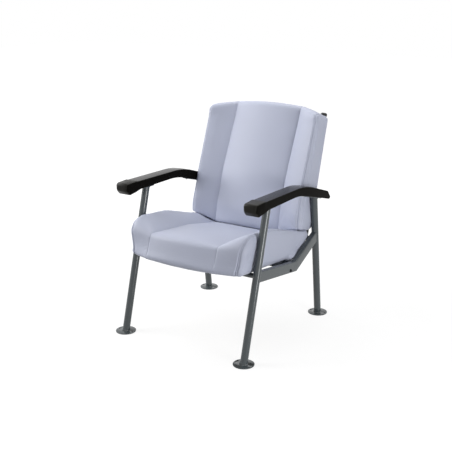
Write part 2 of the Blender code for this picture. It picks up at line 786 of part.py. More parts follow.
def back_upright(side, sign, board, paint, black, zinc):
    """A tube that stands on the rear cross tube behind the back, with its cap and two screws."""
    foot = Vector((sign * UPRIGHT_X, REAR_CROSS_Y, REAR_CROSS_Z))
    top = Vector((sign * UPRIGHT_X, upright_y(UPRIGHT_TOP_Z), UPRIGHT_TOP_Z))
    upright = tube(
        f"back_upright_{side}",
        round_tube_loops(UPRIGHT_D, UPRIGHT_WALL),
        (foot + top) / 2,
        UPRIGHT_WAY,
        [to_plane(foot + UPRIGHT_WAY * (CROSS_D / 2 + GAP), UPRIGHT_WAY)],
        [to_plane(top, UPRIGHT_WAY)],
        paint,
    )
    plug = UPRIGHT_D / 2 - UPRIGHT_WALL - GAP
    rim = UPRIGHT_D / 2 + CAP_RIM
    cap = [(plug, -CAP_PLUG), (plug, GAP), (rim, GAP)]
    cap += [(radius, GAP + CAP_SKIRT + run) for radius, run in dome(rim, CAP_DOME)]
    turned(f"upright_cap_{side}", cap, top, UPRIGHT_WAY, black, TUBE_STEPS)
    for label, z in (
        ("low", BACK_BOARD_FOOT_Z + BACK_SCREW_MARGIN),
        ("high", BACK_BOARD_TOP_Z - BACK_SCREW_MARGIN),
    ):
        seat = Vector((sign * UPRIGHT_X, upright_y(z), z)) - BACK_NORMAL * UPRIGHT_D / 2
        name = f"back_screw_{label}_{side}"
        screw(name, seat, BACK_NORMAL, UPRIGHT_D + BOARD_BITE, (upright, board), zinc)


def main():
    global chair
    clear_scene()
    chair = bpy.data.objects.new("patient_rest_chair", None)
    bpy.context.scene.collection.objects.link(chair)

    paint = material("frame_paint", "5F6567", 0.42)
    vinyl = material("lavender_vinyl", "BFC2D2", 0.48)
    moulded = material("armrest_moulding", "201F1D", 0.5)
    plywood = material("plywood", "B99A6E", 0.75)
    zinc = material("zinc_screw", "A9ABAD", 0.35, 1.0)
    black = material("black_plastic", "161616", 0.45)

    seat_cushion(vinyl)
    back_cushion(vinyl)
    seat = seat_board(plywood)
    back = back_board(plywood)
    y, z = front_cross_place()
    cross = cross_tube("front_cross_tube", y, z, FRONT_FOOT_Y, FRONT_WAY, paint)
    cross_tube("rear_cross_tube", REAR_CROSS_Y, REAR_CROSS_Z, REAR_FOOT_Y, REAR_WAY, paint)
    for side, sign in SIDES:
        arm = armrest(side, sign, moulded)
        bend = by_rear_leg(ARM_UNDER_BEND)
        level = (by_front_leg(ARM_UNDER_FRONT), bend)
        fall = (bend, by_rear_leg(ARM_UNDER_REAR))
        front = (FRONT_FOOT_Y, FRONT_WAY, level, FRONT_PLATE_REACH)
        rear = (REAR_FOOT_Y, REAR_WAY, fall, REAR_PLATE_REACH)
        leg_and_plate("front", side, sign, *front, arm, paint, zinc)
        leg_and_plate("rear", side, sign, *rear, arm, paint, zinc)
        rail = rail_and_riser(side, sign, paint)
        seat_bracket(side, sign, rail, seat, paint, black, zinc)
        front_seat_screw(side, sign, cross, seat, zinc)
        back_upright(side, sign, back, paint, black, zinc)


main()
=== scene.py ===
"""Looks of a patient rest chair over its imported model.

Padding, armrests, painted tubes, fasteners and stage, in metres with +Z up. The chair faces -Y, and the
sitter's left is +X.
"""

import math
from contextlib import contextmanager

import bmesh
import bpy
import numpy as np
from bpy.props import FloatProperty, FloatVectorProperty, IntProperty, PointerProperty
from mathutils import Matrix, Vector
from mathutils.bvhtree import BVHTree


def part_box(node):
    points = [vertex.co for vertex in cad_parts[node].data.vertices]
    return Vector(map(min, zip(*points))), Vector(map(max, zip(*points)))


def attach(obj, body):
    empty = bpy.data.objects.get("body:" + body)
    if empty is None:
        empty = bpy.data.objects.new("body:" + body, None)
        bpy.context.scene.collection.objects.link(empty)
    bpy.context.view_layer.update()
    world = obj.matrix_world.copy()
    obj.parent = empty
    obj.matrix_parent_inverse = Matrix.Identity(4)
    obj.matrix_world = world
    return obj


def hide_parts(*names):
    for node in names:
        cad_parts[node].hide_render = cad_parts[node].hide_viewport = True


bl_info = {
    "name": "Patient rest chair",
    "version": (1, 0, 0),
    "blender": (4, 5, 0),
    "location": "3D View > Sidebar > Chair",
    "description": "Models the padding, frame and fasteners of a patient rest chair",
    "category": "Object",
}

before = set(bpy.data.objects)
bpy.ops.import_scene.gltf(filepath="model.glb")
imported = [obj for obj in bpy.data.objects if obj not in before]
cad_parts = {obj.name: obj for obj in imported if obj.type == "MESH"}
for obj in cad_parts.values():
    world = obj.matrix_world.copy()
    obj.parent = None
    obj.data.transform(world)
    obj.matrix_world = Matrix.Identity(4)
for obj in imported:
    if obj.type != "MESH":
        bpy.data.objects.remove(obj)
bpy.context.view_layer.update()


def leaning(angle):
    """A direction that leans back from upright."""
    return Vector((0, math.sin(angle), math.cos(angle)))


def slope(start, end):
    """Slope of the line between two points of a side outline."""
    return math.atan2(end[1] - start[1], end[0] - start[0])


# Sides of the chair, directions, and the clearance that the solids keep from each other
SIDES = {"left": 1.0, "right": -1.0}
ACROSS = Vector((1, 0, 0))
ALONG = Vector((0, 1, 0))
UP = Vector((0, 0, 1))
GAP = 0.0003

# Slopes of the seat, back and legs
BACK_LEAN = math.radians(15.717)
BACK_WAY = leaning(BACK_LEAN)
CUSHION_NORMALS = {
    "seat": leaning(math.radians(5.484)),
    "back": Vector((0, -math.cos(BACK_LEAN), math.sin(BACK_LEAN))),
}
LEG_WAYS = {"front": leaning(math.radians(15.323)), "rear": leaning(math.radians(-7.407))}

# Side outline of an armrest: y, z and corner radius, from under the rear end forwards and back over the top
ARM_OUTLINE = (
    (0.283, 0.562, 0.008),
    (0.004, 0.637, 0.400),
    (-0.262, 0.634, 0.060),
    (-0.336, 0.6175, 0.014),
    (-0.3625, 0.640, 0.014),
    (-0.3585, 0.675, 0.014),
    (0.045, 0.672, 0.400),
    (0.267, 0.603, 0.014),
    (0.294, 0.570, 0.008),
)

# Corner arcs of that outline: steps, and the most of an edge that an arc may take
ARC_STEPS = 10
MOST_OF_AN_EDGE = 0.5

# Front end of an armrest: its corners from above, its long edges, how far back they change, and its cuts
NOSE_ROUND = 0.016
NOSE_EDGE = 0.015
NOSE_REACH = 0.06
NOSE_CUTS = (0.001, 0.003, 0.006, 0.010, 0.016, 0.026, 0.037, 0.048, 0.060)
NOSE_LEAST = 0.00001

# Lower pad on top of an armrest: where it starts, its step, and where it fades out
PAD_SPLIT_Y = -0.287
PAD_SPLIT_WIDTH = 0.0012
PAD_TOP_Z = 0.656
PAD_DROP = 0.0024
PAD_FADE_Y = (0.02, 0.20)

# Plates under the armrests: half their thickness, and their slopes, which follow the armrests' undersides
PLATE_HALF = 0.0015
PLATE_NORMALS = {
    "front": leaning(-slope(ARM_OUTLINE[2], ARM_OUTLINE[1])),
    "rear": leaning(-slope(ARM_OUTLINE[1], ARM_OUTLINE[0])),
}

# Heights at which the side rails meet the legs, and the bend between them
RAIL_FRONT_Z = 0.3495
RAIL_REAR_Z = 0.396
RAIL_KINK = (0.0396, 0.3045)

# Blanks: faces round them, how far they run past a cut, and how far a cutter runs up a leg or along a tube
TUBE_SIDES = 64
FLANGE_SIDES = 96
HOLE_SIDES = 32
SPARE = 0.03
LEG_REACH = 0.7
SADDLE_REACH = 0.05
SADDLE_START = 0.003

# Edges and faces: steps of a rounding, and limits for picking, merging and shading
ROLL_STEPS = 6
DOME_STEPS = 10
SINK_STEPS = 2
EDGE_STEPS = 3
EDGE_ANGLE = math.radians(40)
SMOOTH_ANGLE = math.radians(35)
FLAT_ANGLE = math.radians(1)
MERGE = 0.00005
PARALLEL = 0.999
FACING = 0.9
PARTLY_FACING = 0.8
RIM_PICK = 0.001
HOLE_PICK = 0.6

# Weld beads: points round a leg and a cross tube, and the ripple of the weld pool
LEG_BEAD_POINTS = 104
CROSS_BEAD_POINTS = 72
RIPPLE = 0.16
RIPPLE_POINTS = 4

# Pan head screws with a cross recess, and button head bolts with a hexagon socket and nut
SCREW = {
    "head": 0.003,
    "radius": 0.0045,
    "sides": 32,
    "dome": 0.0020,
    "steps": 5,
    "shoulder": 0.00225,
    "tip": 0.003,
    "taper": 0.15,
}
SCREW_RECESS = ((0.0052, 0.0010, 0.0026), (0.0010, 0.0052, 0.0026))
BOLT = {"head": 0.0045, "radius": 0.0065, "sides": 40, "dome": 0.0036, "steps": 7, "shoulder": 0.0025}
SOCKET_RADIUS = 0.0023
SOCKET_DEPTH = 0.0024
SOCKET_SPARE = 0.001
NUT_EDGE = 0.0009
NUT_BORE = 0.0041
NUT_BORE_REACH = 0.02
HEXAGON = 6
HEAD_PICK = 0.0005
HEAD_FACE = 0.0001

# Folds beside the bolsters and wings: their place, and how they and the seams are held as a cover fills
CREASE_X = 0.17
CREASE_GUARD = 0.012
CREASE_HOLD = 0.92
CREASE_GRIP = 0.007
SEAM_GRIP = 0.005

# Sewn lines of the covers, as planes: normal and offset for the left side
SEAT_SEAMS = ((Vector((1, 0, -0.15)), 0.208), (Vector((1, 0, -0.17)), 0.194))
BACK_RIM_SEAM = (Vector((1, 0, 0)), 0.2812)
BACK_SIDE_SEAM = (Vector((0, 1, -0.338)), -0.0277)
BACK_SIDE_X = 0.277
SEAM_REACH = 0.006
SEAM_FOOT = 0.008
STITCH_FOOT = 0.014
LEAST_SLANT = 0.06

# Between seat and back, the share of the gap that each may fill, in the middle and at the outer ends
JOIN_X = (0.21, 0.25)
JOIN_SHARES = (0.12, 0.40)
LEAST_FACING = 0.15

# Start and run of the heights over the board where a cover lifts off it, comes loose and shows its seams
RESTING = (0.002, 0.006)
HELD = (0.004, 0.02)
SEWN = (0.006, 0.01)
BOARD_MARGIN = 0.01

# Where the foam pushes a cover out more: centre and spread of humps, start and run of ramps, and shares
SEAT_SHOULDER = ((0.284, 0.07), (-0.33, 0.07), (0.475, 0.05))
SEAT_HEM_Y = (-0.24, -0.17, 0.03, 0.06)
SEAT_HEM_SHARES = (0.4, 0.1, 0.1, 1.6)
SEAT_HEM = (0.0, 0.025)
SEAT_REAR = (0.09, 0.06)
SEAT_REAR_SHARE = 0.9
BACK_TOP = ((0.25, 0.08), (0.945, 0.035))
BACK_TOP_SHARE = 0.6
BACK_FOOT = ((0.284, 0.05), (0.46, 0.10))
BACK_EDGE = (0.262, 0.012)
BACK_EDGE_HEM = (0.0, 0.022)
BACK_EDGE_SHARE = 0.8

# Least length, move and weight that count
TINY = 1e-6
LEAST_MOVE = 1e-9
LEAST_WEIGHT = 0.001

# Stage: floor, surrounding light, lamps with place, size and watts, and the camera of the picture
FLOOR_SIZE = 30
FLOOR_Z = -0.0005
FLOOR_SEEN_SHADE = 0.6
FLOOR_GLOW = {"From Min": 0.9, "From Max": 2.4, "To Min": 0.85, "To Max": 1.0}
ROOM_LIGHT = {"To Min": 0.15, "To Max": 1.0}
WHITE = (1, 1, 1, 1)
LAMP_TARGET = Vector((0, 0, 0.5))
LAMPS = (
    ("left_key", Vector((-2.9, -1.6, 1.9)), 2.0, 66.0),
    ("top_left", Vector((-1.8, -0.6, 2.4)), 1.6, 18.0),
    ("top_rear", Vector((0.0, 0.9, 2.7)), 2.0, 27.0),
    ("left_rear", Vector((-2.8, 0.6, 1.6)), 1.2, 17.0),
    ("right_low", Vector((2.8, -0.8, 0.7)), 1.4, 39.0),
)
CAMERA_PLACE = (1.875, -2.908, 1.467)
CAMERA_TURN = (math.radians(73.58), 0, math.radians(33.09))
CAMERA_SENSOR = 36.0
CAMERA_LENS = 63.7


def extent(node, axis):
    """Size of a solid along an axis."""
    low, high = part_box(node)
    return high[axis] - low[axis]


def middle(node):
    """Middle of a solid's box."""
    low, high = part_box(node)
    return (low + high) / 2


def linear(code):
    """An sRGB hex colour as linear red, green, blue and alpha."""
    channels = [int(code[place : place + 2], 16) / 255 for place in (0, 2, 4)]
    shares = [c / 12.92 if c <= 0.04045 else ((c + 0.055) / 1.055) ** 2.4 for c in channels]
    return (*shares, 1.0)


def length(name, description, default):
    """A length that a user may change."""
    return FloatProperty(
        name=name, description=description, default=default, min=0.0, precision=4, unit="LENGTH"
    )


def colour(name, description, code):
    """A colour that a user may change."""
    return FloatVectorProperty(
        name=name, description=description, default=linear(code), size=4, min=0.0, max=1.0, subtype="COLOR"
    )


class ChairSizes(bpy.types.PropertyGroup):
    """Sizes of the pieces"""

    leg_diameter: length("Leg diameter", "Outside of the leg tubes", extent("front_leg_left", 0))
    cross_diameter: length("Cross tubes", "Outside of the two cross tubes", extent("front_cross_tube", 2))
    upright_diameter: length("Uprights", "Outside of the back uprights", extent("back_upright_left", 0))
    cap_diameter: length("Cap diameter", "Outside of the caps on the uprights", extent("upright_cap_left", 0))
    cap_skirt: length("Cap skirt", "Straight part of a cap below its dome", 0.004)
    cap_height: length("Cap height", "Skirt and dome of a cap", 0.013)
    rail_width: length("Rail width", "Side rail tube across the chair", extent("side_rail_left", 0))
    rail_height: length("Rail height", "Side rail tube upright", 0.045)
    rail_corner: length("Rail corner", "Rolled corner of the rail tube", 0.004)
    flange_edge: length("Flange edge", "Broken edge of the floor flanges", 0.0007)
    flange_hole: length("Flange hole", "Diameter of the floor screw holes", 0.007)
    flange_sink: length("Flange countersink", "Broken upper edge of those holes", 0.0018)
    flange_hole_reach: length("Hole reach", "Floor screw holes from the flange's middle", 0.036)
    plate_edge: length("Plate edge", "Broken edge of plates and brackets", 0.0005)
    board_edge: length("Board edge", "Broken edge of the plywood boards", 0.001)
    cover_hem: length("Turned-in cover", "Cover turned in over the edge of a board", 0.035)
    weld_bead: length("Weld bead", "Radius of the weld beads", 0.0024)
    arm_roll: length("Arm roll", "Rolled long edges of the armrests", 0.0065)
    voxel: length("Cover mesh", "Grid of the covers before they are blown up", 0.0055)
    soften: length("Softening", "Most that an edge of the cover is softened", 0.0014)
    fill: length("Fill", "How far the padding pushes its cover out", 0.0042)
    corner_fill: length("Corner fill", "How much more the padding pushes out the corners", 0.010)
    swell: length("Swell", "Most that the cover bulges between its seams", 0.003)
    clearance: length("Clearance", "Least gap from a cover to its neighbours", 0.0015)
    seam_depth: length("Seam depth", "How deep a seam draws the cover in", 0.0030)
    seam_width: length("Seam width", "Half width of the groove along a seam", 0.0032)
    crease_depth: length("Crease depth", "How deep the folds beside the bolsters and wings are", 0.0018)
    crease_width: length("Crease width", "Half width of those folds", 0.0036)
    tuck_depth: length("Tuck depth", "How deep seat and back draw in where they meet", 0.0036)
    tuck_width: length("Tuck width", "How far from the other cushion they draw in", 0.007)
    stitch_pitch: length("Stitch pitch", "Distance from one stitch to the next", 0.0052)
    stitch_length: length("Stitch length", "Length of thread that shows", 0.0036)
    thread: length("Thread", "Thickness of the thread", 0.0010)
    pressure: FloatProperty(name="Pressure", description="Pressure in the cover", default=4.0, min=0.0)
    cloth_mass: FloatProperty(
        name="Cover mass", description="Mass of a point of the simulated cover", default=0.01, min=0.0001
    )
    frames: IntProperty(name="Frames", description="Steps of the padding simulation", default=20, min=1)


class ChairColours(bpy.types.PropertyGroup):
    """Colours of the finishes"""

    vinyl: colour("Vinyl", "Lavender grey upholstery vinyl", "C2C7DA")
    thread: colour("Thread", "Sewing thread", "A9ADC0")
    paint: colour("Paint", "Blue-grey powder coat of the tubes", "4B5255")
    moulding: colour("Moulding", "Skin of the moulded armrests", "12110F")
    # The nose colour is lighter than the moulding's as painted sheen on the fronts and tops of the armrests'
    # noses
    nose: colour("Nose", "Front ends of the armrests, polished and lightened as painted sheen", "201F1C")
    pad: colour("Arm pad", "Rubbed top of the armrests", "131112")
    plywood: colour("Plywood", "Birch plywood of the boards", "B99A6E")
    zinc: colour("Zinc", "Bright zinc plate on the screws", "B4B6B8")
    oxide: colour("Black oxide", "Blackened bolts", "1A1A1B")
    nylon: colour("Nylon", "Caps on the back uprights", "161617")
    floor: colour("Floor", "Pale studio floor", "A8A8A8")


# Selecting, cutting and finishing


def pick_only(obj):
    """Leaves this object alone selected and active."""
    bpy.ops.object.select_all(action="DESELECT")
    obj.select_set(True)
    bpy.context.view_layer.objects.active = obj


@contextmanager
def editing(obj):
    """Edit mode on one object, with all of its mesh selected at the start."""
    pick_only(obj)
    bpy.ops.object.mode_set(mode="EDIT")
    bpy.ops.mesh.select_all(action="SELECT")
    yield
    bpy.ops.object.mode_set(mode="OBJECT")


def select(obj, kind, test):
    """In edit mode, selects the vertices, edges or faces that pass a test."""
    bpy.ops.mesh.select_mode(type=kind)
    bpy.ops.mesh.select_all(action="DESELECT")
    shell = bmesh.from_edit_mesh(obj.data)
    for item in {"VERT": shell.verts, "EDGE": shell.edges, "FACE": shell.faces}[kind]:
        if test(item):
            item.select_set(True)
    shell.select_flush_mode()
    bmesh.update_edit_mesh(obj.data)


def runs_along(edge, way):
    """True for an edge that runs along a direction."""
    run = edge.verts[0].co - edge.verts[1].co
    return abs(run.normalized().dot(way)) > PARALLEL


def modify(obj, kind, **settings):
    """Adds a modifier with its settings and applies it."""
    pick_only(obj)
    modifier = obj.modifiers.new(kind.lower(), kind)
    for key, value in settings.items():
        setattr(modifier, key, value)
    bpy.ops.object.modifier_apply(modifier=modifier.name)


def break_edges(obj, width):
    """Rounds every sharp edge a little."""
    modify(obj, "BEVEL", width=width, segments=EDGE_STEPS, limit_method="ANGLE", angle_limit=EDGE_ANGLE)


def place(obj, matrix):
    """Moves a piece to its place and leaves that in its mesh."""
    obj.matrix_world = matrix
    pick_only(obj)
    bpy.ops.object.transform_apply(location=True, rotation=True, scale=True)


def add_shape(operator, **settings):
    """A new primitive, with its place, turn and scale left in its mesh."""
    bpy.ops.object.select_all(action="DESELECT")
    operator(**settings)
    bpy.ops.object.transform_apply(location=True, rotation=True, scale=True)
    return bpy.context.object


def rod(start, end, radius, sides):
    """A round bar between two points."""
    way = end - start
    return add_shape(
        bpy.ops.mesh.primitive_cylinder_add,
        vertices=sides,
        radius=radius,
        depth=way.length,
        location=(start + end) / 2,
        rotation=way.to_track_quat("Z", "Y").to_euler(),
    )


def block(size):
    """A block of a size at the origin."""
    return add_shape(bpy.ops.mesh.primitive_cube_add, size=1, scale=size)


def cut(obj, point, normal):
    """Cuts off what lies beyond a plane and closes the end."""
    with editing(obj):
        bpy.ops.mesh.bisect(plane_co=point, plane_no=normal, use_fill=True, clear_outer=True)


def subtract(obj, cutter):
    """Takes a cutter's shape out of a piece."""
    modify(obj, "BOOLEAN", operation="DIFFERENCE", solver="EXACT", object=cutter)
    bpy.data.objects.remove(cutter)


def bevel_edges(obj, width, steps, test):
    """Bevels the edges that pass a test."""
    with editing(obj):
        select(obj, "EDGE", test)
        bpy.ops.mesh.bevel(offset=width, segments=steps, profile=0.5, affect="EDGES", clamp_overlap=True)


def copy_piece(obj):
    """A copy of a piece with its own mesh."""
    twin = obj.copy()
    twin.data = obj.data.copy()
    bpy.context.collection.objects.link(twin)
    return twin


def from_solid(node):
    """A copy of a solid with its triangles merged back into flat faces."""
    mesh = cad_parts[node].data.copy()
    mesh.materials.clear()
    obj = bpy.data.objects.new(node + "_blank", mesh)
    bpy.context.collection.objects.link(obj)
    pick_only(obj)
    bpy.ops.mesh.customdata_custom_splitnormals_clear()
    with editing(obj):
        bpy.ops.mesh.remove_doubles(threshold=MERGE)
        bpy.ops.mesh.dissolve_limited(angle_limit=FLAT_ANGLE)
    return obj


def dress(obj, name, slot, finish, *nodes):
    """Names a finished piece, shades it, ties it to the frame, and hides the solids that it stands for."""
    obj.name = name
    obj.data.name = name
    obj.data.materials.append(finish_for(finish))
    pick_only(obj)
    bpy.ops.object.shade_smooth_by_angle(angle=SMOOTH_ANGLE)
    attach(obj, "root")
    if nodes:
        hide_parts(*nodes)


# Finishes


def add_node(tree, kind, inputs=None, **settings):
    """Adds a node, sets it, and fills or links its inputs."""
    node = tree.nodes.new(kind)
    for key, value in settings.items():
        setattr(node, key, value)
    for socket, value in (inputs or {}).items():
        if isinstance(value, bpy.types.NodeSocket):
            tree.links.new(value, node.inputs[socket])
        else:
            node.inputs[socket].default_value = value
    return node


def per_metre(millimetres):
    """Texture scale that repeats about every so many millimetres."""
    return 1000.0 / millimetres


def shade(tone, share):
    """A lighter or darker tone of a colour."""
    return (*[min(channel * share, 1.0) for channel in tone[:3]], 1.0)


def coat(tree, tone, patches, shares, gloss, relief, details):
    """A surface whose tone and roughness change with the patches of a texture, over a relief."""
    tones = {0: patches, 6: shade(tone, shares[0]), 7: shade(tone, shares[1])}
    mottle = add_node(tree, "ShaderNodeMix", tones, data_type="RGBA")
    inputs = {"Base Color": mottle.outputs[2], **details}
    if gloss:
        limits = {"Value": patches, "To Min": gloss[0], "To Max": gloss[1]}
        inputs["Roughness"] = add_node(tree, "ShaderNodeMapRange", limits).outputs["Result"]
    if relief:
        inputs["Normal"] = add_node(tree, "ShaderNodeBump", relief).outputs["Normal"]
    return add_node(tree, "ShaderNodeBsdfPrincipled", inputs)


def vinyl_skin(tree, spot, tone):
    """Calendered vinyl on a knitted backing, embossed with a fine hide grain."""
    # A satin skin: broad soft highlights, slow changes of tone, and a grain that only shows close up
    clouds = {"Vector": spot, "Scale": per_metre(140), "Detail": 2.0}
    cloud = add_node(tree, "ShaderNodeTexNoise", clouds).outputs["Fac"]
    cells = {"Vector": spot, "Scale": per_metre(2.2), "Randomness": 0.9}
    grain = add_node(tree, "ShaderNodeTexVoronoi", cells, feature="DISTANCE_TO_EDGE")
    puckers = {"Vector": spot, "Scale": per_metre(45), "Detail": 3.0}
    pucker = add_node(tree, "ShaderNodeTexNoise", puckers).outputs["Fac"]
    fold = add_node(tree, "ShaderNodeBump", {"Height": pucker, "Strength": 0.12, "Distance": 0.004})
    relief = {"Height": grain.outputs["Distance"], "Strength": 0.2, "Distance": 0.0004}
    relief["Normal"] = fold.outputs["Normal"]
    details = {"IOR": 1.5, "Specular IOR Level": 0.38, "Sheen Weight": 0.04}
    return coat(tree, tone, cloud, (0.97, 1.03), (0.44, 0.54), relief, details)


def thread_strand(tree, spot, tone):
    """Bonded polyester thread, twisted from three plies."""
    # Short soft glints across the twist, from its relief and from painted highlight and shade: the thread's
    # colour gets lighter and darker in bands along the twist
    turns = {"Vector": spot, "Scale": per_metre(3.0)}
    twist = add_node(tree, "ShaderNodeTexWave", turns, bands_direction="DIAGONAL").outputs["Fac"]
    relief = {"Height": twist, "Strength": 0.3, "Distance": 0.0002}
    return coat(tree, tone, twist, (0.85, 1.08), None, relief, {"Roughness": 0.55, "Sheen Weight": 0.1})


def powder_coat(tree, spot, tone):
    """Satin polyester powder coat, baked on steel tube."""
    # Fine orange peel, long highlights along the tubes, and slightly paler scuffed patches
    scuffs = {"Vector": spot, "Scale": per_metre(60), "Detail": 5.0}
    scuff = add_node(tree, "ShaderNodeTexNoise", scuffs).outputs["Fac"]
    # Real peel is about 1 mm, drawn at 2 mm so that it shows
    peel = add_node(tree, "ShaderNodeTexNoise", {"Vector": spot, "Scale": per_metre(2.0), "Detail": 1.0})
    relief = {"Height": peel.outputs["Fac"], "Strength": 0.12, "Distance": 0.0003}
    details = {"IOR": 1.52, "Specular IOR Level": 0.5}
    return coat(tree, tone, scuff, (0.93, 1.08), (0.14, 0.21), relief, details)


def moulded_skin(tree, spot, tone, roughness, specular):
    """Integral-skin polyurethane or nylon, cast in a grained mould."""
    # A tough smooth skin with a leathery cast texture and a soft sheen, glossier where arms rub it
    rubs = {"Vector": spot, "Scale": per_metre(50), "Detail": 4.0}
    rub = add_node(tree, "ShaderNodeTexNoise", rubs).outputs["Fac"]
    cells = {"Vector": spot, "Scale": per_metre(1.8)}
    cast = add_node(tree, "ShaderNodeTexVoronoi", cells, feature="SMOOTH_F1")
    relief = {"Height": cast.outputs["Distance"], "Strength": 0.2, "Distance": 0.0004}
    gloss = (roughness - 0.05, roughness + 0.06)
    return coat(tree, tone, rub, (0.88, 1.14), gloss, relief, {"IOR": 1.5, "Specular IOR Level": specular})


def sanded_plywood(tree, spot, tone):
    """Birch plywood, sawn and sanded."""
    # Long pale grain on the faces
    stretch = add_node(tree, "ShaderNodeMapping", {"Vector": spot, "Scale": (0.06, 1.0, 1.0)})
    fibres = {"Vector": stretch.outputs["Vector"], "Scale": per_metre(4), "Detail": 6.0, "Distortion": 0.6}
    grain = add_node(tree, "ShaderNodeTexNoise", fibres).outputs["Fac"]
    relief = {"Height": grain, "Strength": 0.25, "Distance": 0.0004}
    return coat(tree, tone, grain, (0.72, 1.2), None, relief, {"Roughness": 0.62, "IOR": 1.5})


def screw_steel(tree, spot, tone, least, most):
    """Plated or blackened screw steel, with tumbling marks."""
    # Bright but uneven: plating bath stains and small tumbling marks break the reflection
    marks = {"Vector": spot, "Scale": per_metre(3), "Detail": 4.0}
    mark = add_node(tree, "ShaderNodeTexNoise", marks).outputs["Fac"]
    return coat(tree, tone, mark, (0.85, 1.12), (least, most), None, {"Metallic": 1.0})


def seen_rays(tree):
    """1 for what the eye sees, also in metal and glass, and 0 for scattered light."""
    path = add_node(tree, "ShaderNodeLightPath")
    seen = path.outputs["Is Camera Ray"]
    for kind in ("Is Glossy Ray", "Is Transmission Ray"):
        either = add_node(tree, "ShaderNodeMath", {0: seen, 1: path.outputs[kind]}, operation="MAXIMUM")
        seen = either.outputs[0]
    return seen


def studio_floor(tree, spot, tone):
    """Matt white paper."""
    # White to the eye and in reflections, and still dulled by the chair's own shadow
    seen = seen_rays(tree)
    tones = {0: seen, 6: tone, 7: shade(tone, FLOOR_SEEN_SHADE)}
    shown = add_node(tree, "ShaderNodeMix", tones, data_type="RGBA")
    paper = add_node(tree, "ShaderNodeBsdfDiffuse", {"Color": shown.outputs[2]})
    reach = add_node(tree, "ShaderNodeVectorMath", {0: spot}, operation="LENGTH")
    white = add_node(tree, "ShaderNodeMapRange", {"Value": reach.outputs["Value"], **FLOOR_GLOW})
    level = add_node(tree, "ShaderNodeMath", {0: seen, 1: white.outputs["Result"]}, operation="MULTIPLY")
    glow = add_node(tree, "ShaderNodeEmission", {"Color": WHITE, "Strength": level.outputs[0]})
    return add_node(tree, "ShaderNodeAddShader", {0: paper.outputs[0], 1: glow.outputs[0]})


# For each colour: the finish's name, its surface, and what that surface needs besides the colour
FINISHES = {
    "vinyl": ("Embossed upholstery vinyl", vinyl_skin),
    "thread": ("Bonded polyester thread", thread_strand),
    "paint": ("Satin powder coat", powder_coat),
    "moulding": ("Moulded polyurethane", moulded_skin, 0.42, 0.012),
    "pad": ("Rubbed polyurethane", moulded_skin, 0.24, 0.18),
    # The nose's lower roughness and higher specular are real gloss; its lighter colour is painted sheen
    "nose": ("Polished polyurethane", moulded_skin, 0.36, 0.12),
    "nylon": ("Moulded nylon", moulded_skin, 0.34, 0.35),
    "plywood": ("Birch plywood", sanded_plywood),
    "zinc": ("Bright zinc plate", screw_steel, 0.22, 0.38),
    "oxide": ("Black oxide steel", screw_steel, 0.30, 0.44),
    "floor": ("Matt studio floor", studio_floor),
}


def finish_for(key):
    """The material of one of the colours, made the first time it is asked for."""
    name, surface, *details = FINISHES[key]
    finish = bpy.data.materials.get(name)
    if finish is None:
        finish = bpy.data.materials.new(name)
        finish.use_nodes = True
        tree = finish.node_tree
        tree.nodes.clear()
        spot = add_node(tree, "ShaderNodeTexCoord").outputs["Object"]
        shader = surface(tree, spot, getattr(bpy.context.scene.chair_colours, key), *details)
        add_node(tree, "ShaderNodeOutputMaterial", {"Surface": shader.outputs[0]})
    return finish


# Frame


def flange_middle(end, side):
    """Middle of a floor flange, on the floor."""
    spot = middle(f"foot_flange_{end}_{side}")
    return Vector((spot.x, spot.y, 0))


def leg_point(end, side, height):
    """Point on a leg's axis at a height."""
    way = LEG_WAYS[end]
    return flange_middle(end, side) + way * (height / way.z)


def under_plate(end, side):
    """Point just under the plate on top of a leg."""
    return middle(f"{end}_arm_plate_{side}") - PLATE_NORMALS[end] * (PLATE_HALF + GAP)


def fit_to_leg(tube, end, side, sizes):
    """Cuts a tube to fit against a leg."""
    foot = leg_point(end, side, 0)
    head = foot + LEG_WAYS[end] * LEG_REACH
    subtract(tube, rod(foot, head, sizes.leg_diameter / 2 + GAP, TUBE_SIDES))


class CHAIR_OT_legs(bpy.types.Operator):
    """Models the leaning leg tubes, cut to the floor flanges and to the plates under the armrests"""

    bl_idname = "chair.legs"
    bl_label = "Leg tubes"

    def execute(self, context):
        sizes = context.scene.chair_sizes
        for end, way in LEG_WAYS.items():
            for side in SIDES:
                node = f"{end}_leg_{side}"
                low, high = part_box(node)
                bottom = leg_point(end, side, low.z) - way * SPARE
                top = leg_point(end, side, high.z) + way * SPARE
                leg = rod(bottom, top, sizes.leg_diameter / 2, TUBE_SIDES)
                cut(leg, (0, 0, low.z), -UP)
                cut(leg, under_plate(end, side), PLATE_NORMALS[end])
                dress(leg, f"leg_tube_{end}_{side}", "frame_paint", "paint", node)
        return {"FINISHED"}


class CHAIR_OT_flanges(bpy.types.Operator):
    """Models one round floor flange with its two screw holes and copies it to each foot"""

    bl_idname = "chair.flanges"
    bl_label = "Floor flanges"

    def execute(self, context):
        sizes = context.scene.chair_sizes
        thick = extent("foot_flange_front_left", 2)
        radius = extent("foot_flange_front_left", 0) / 2
        disc = rod(Vector(), UP * thick, radius, FLANGE_SIDES)
        rims = [Vector((sign * sizes.flange_hole_reach, 0, thick)) for sign in SIDES.values()]
        for rim in rims:
            subtract(disc, rod(rim - UP * 2 * thick, rim + UP * thick, sizes.flange_hole / 2, HOLE_SIDES))
        near = sizes.flange_hole * HOLE_PICK
        bevel_edges(
            disc,
            sizes.flange_sink,
            SINK_STEPS,
            lambda edge: any(all((end.co - rim).length < near for end in edge.verts) for rim in rims),
        )
        break_edges(disc, sizes.flange_edge)
        for end in LEG_WAYS:
            for side in SIDES:
                flange = copy_piece(disc)
                place(flange, Matrix.Translation(flange_middle(end, side)))
                node = f"foot_flange_{end}_{side}"
                dress(flange, f"floor_flange_{end}_{side}", "frame_paint", "paint", node)
        bpy.data.objects.remove(disc)
        return {"FINISHED"}


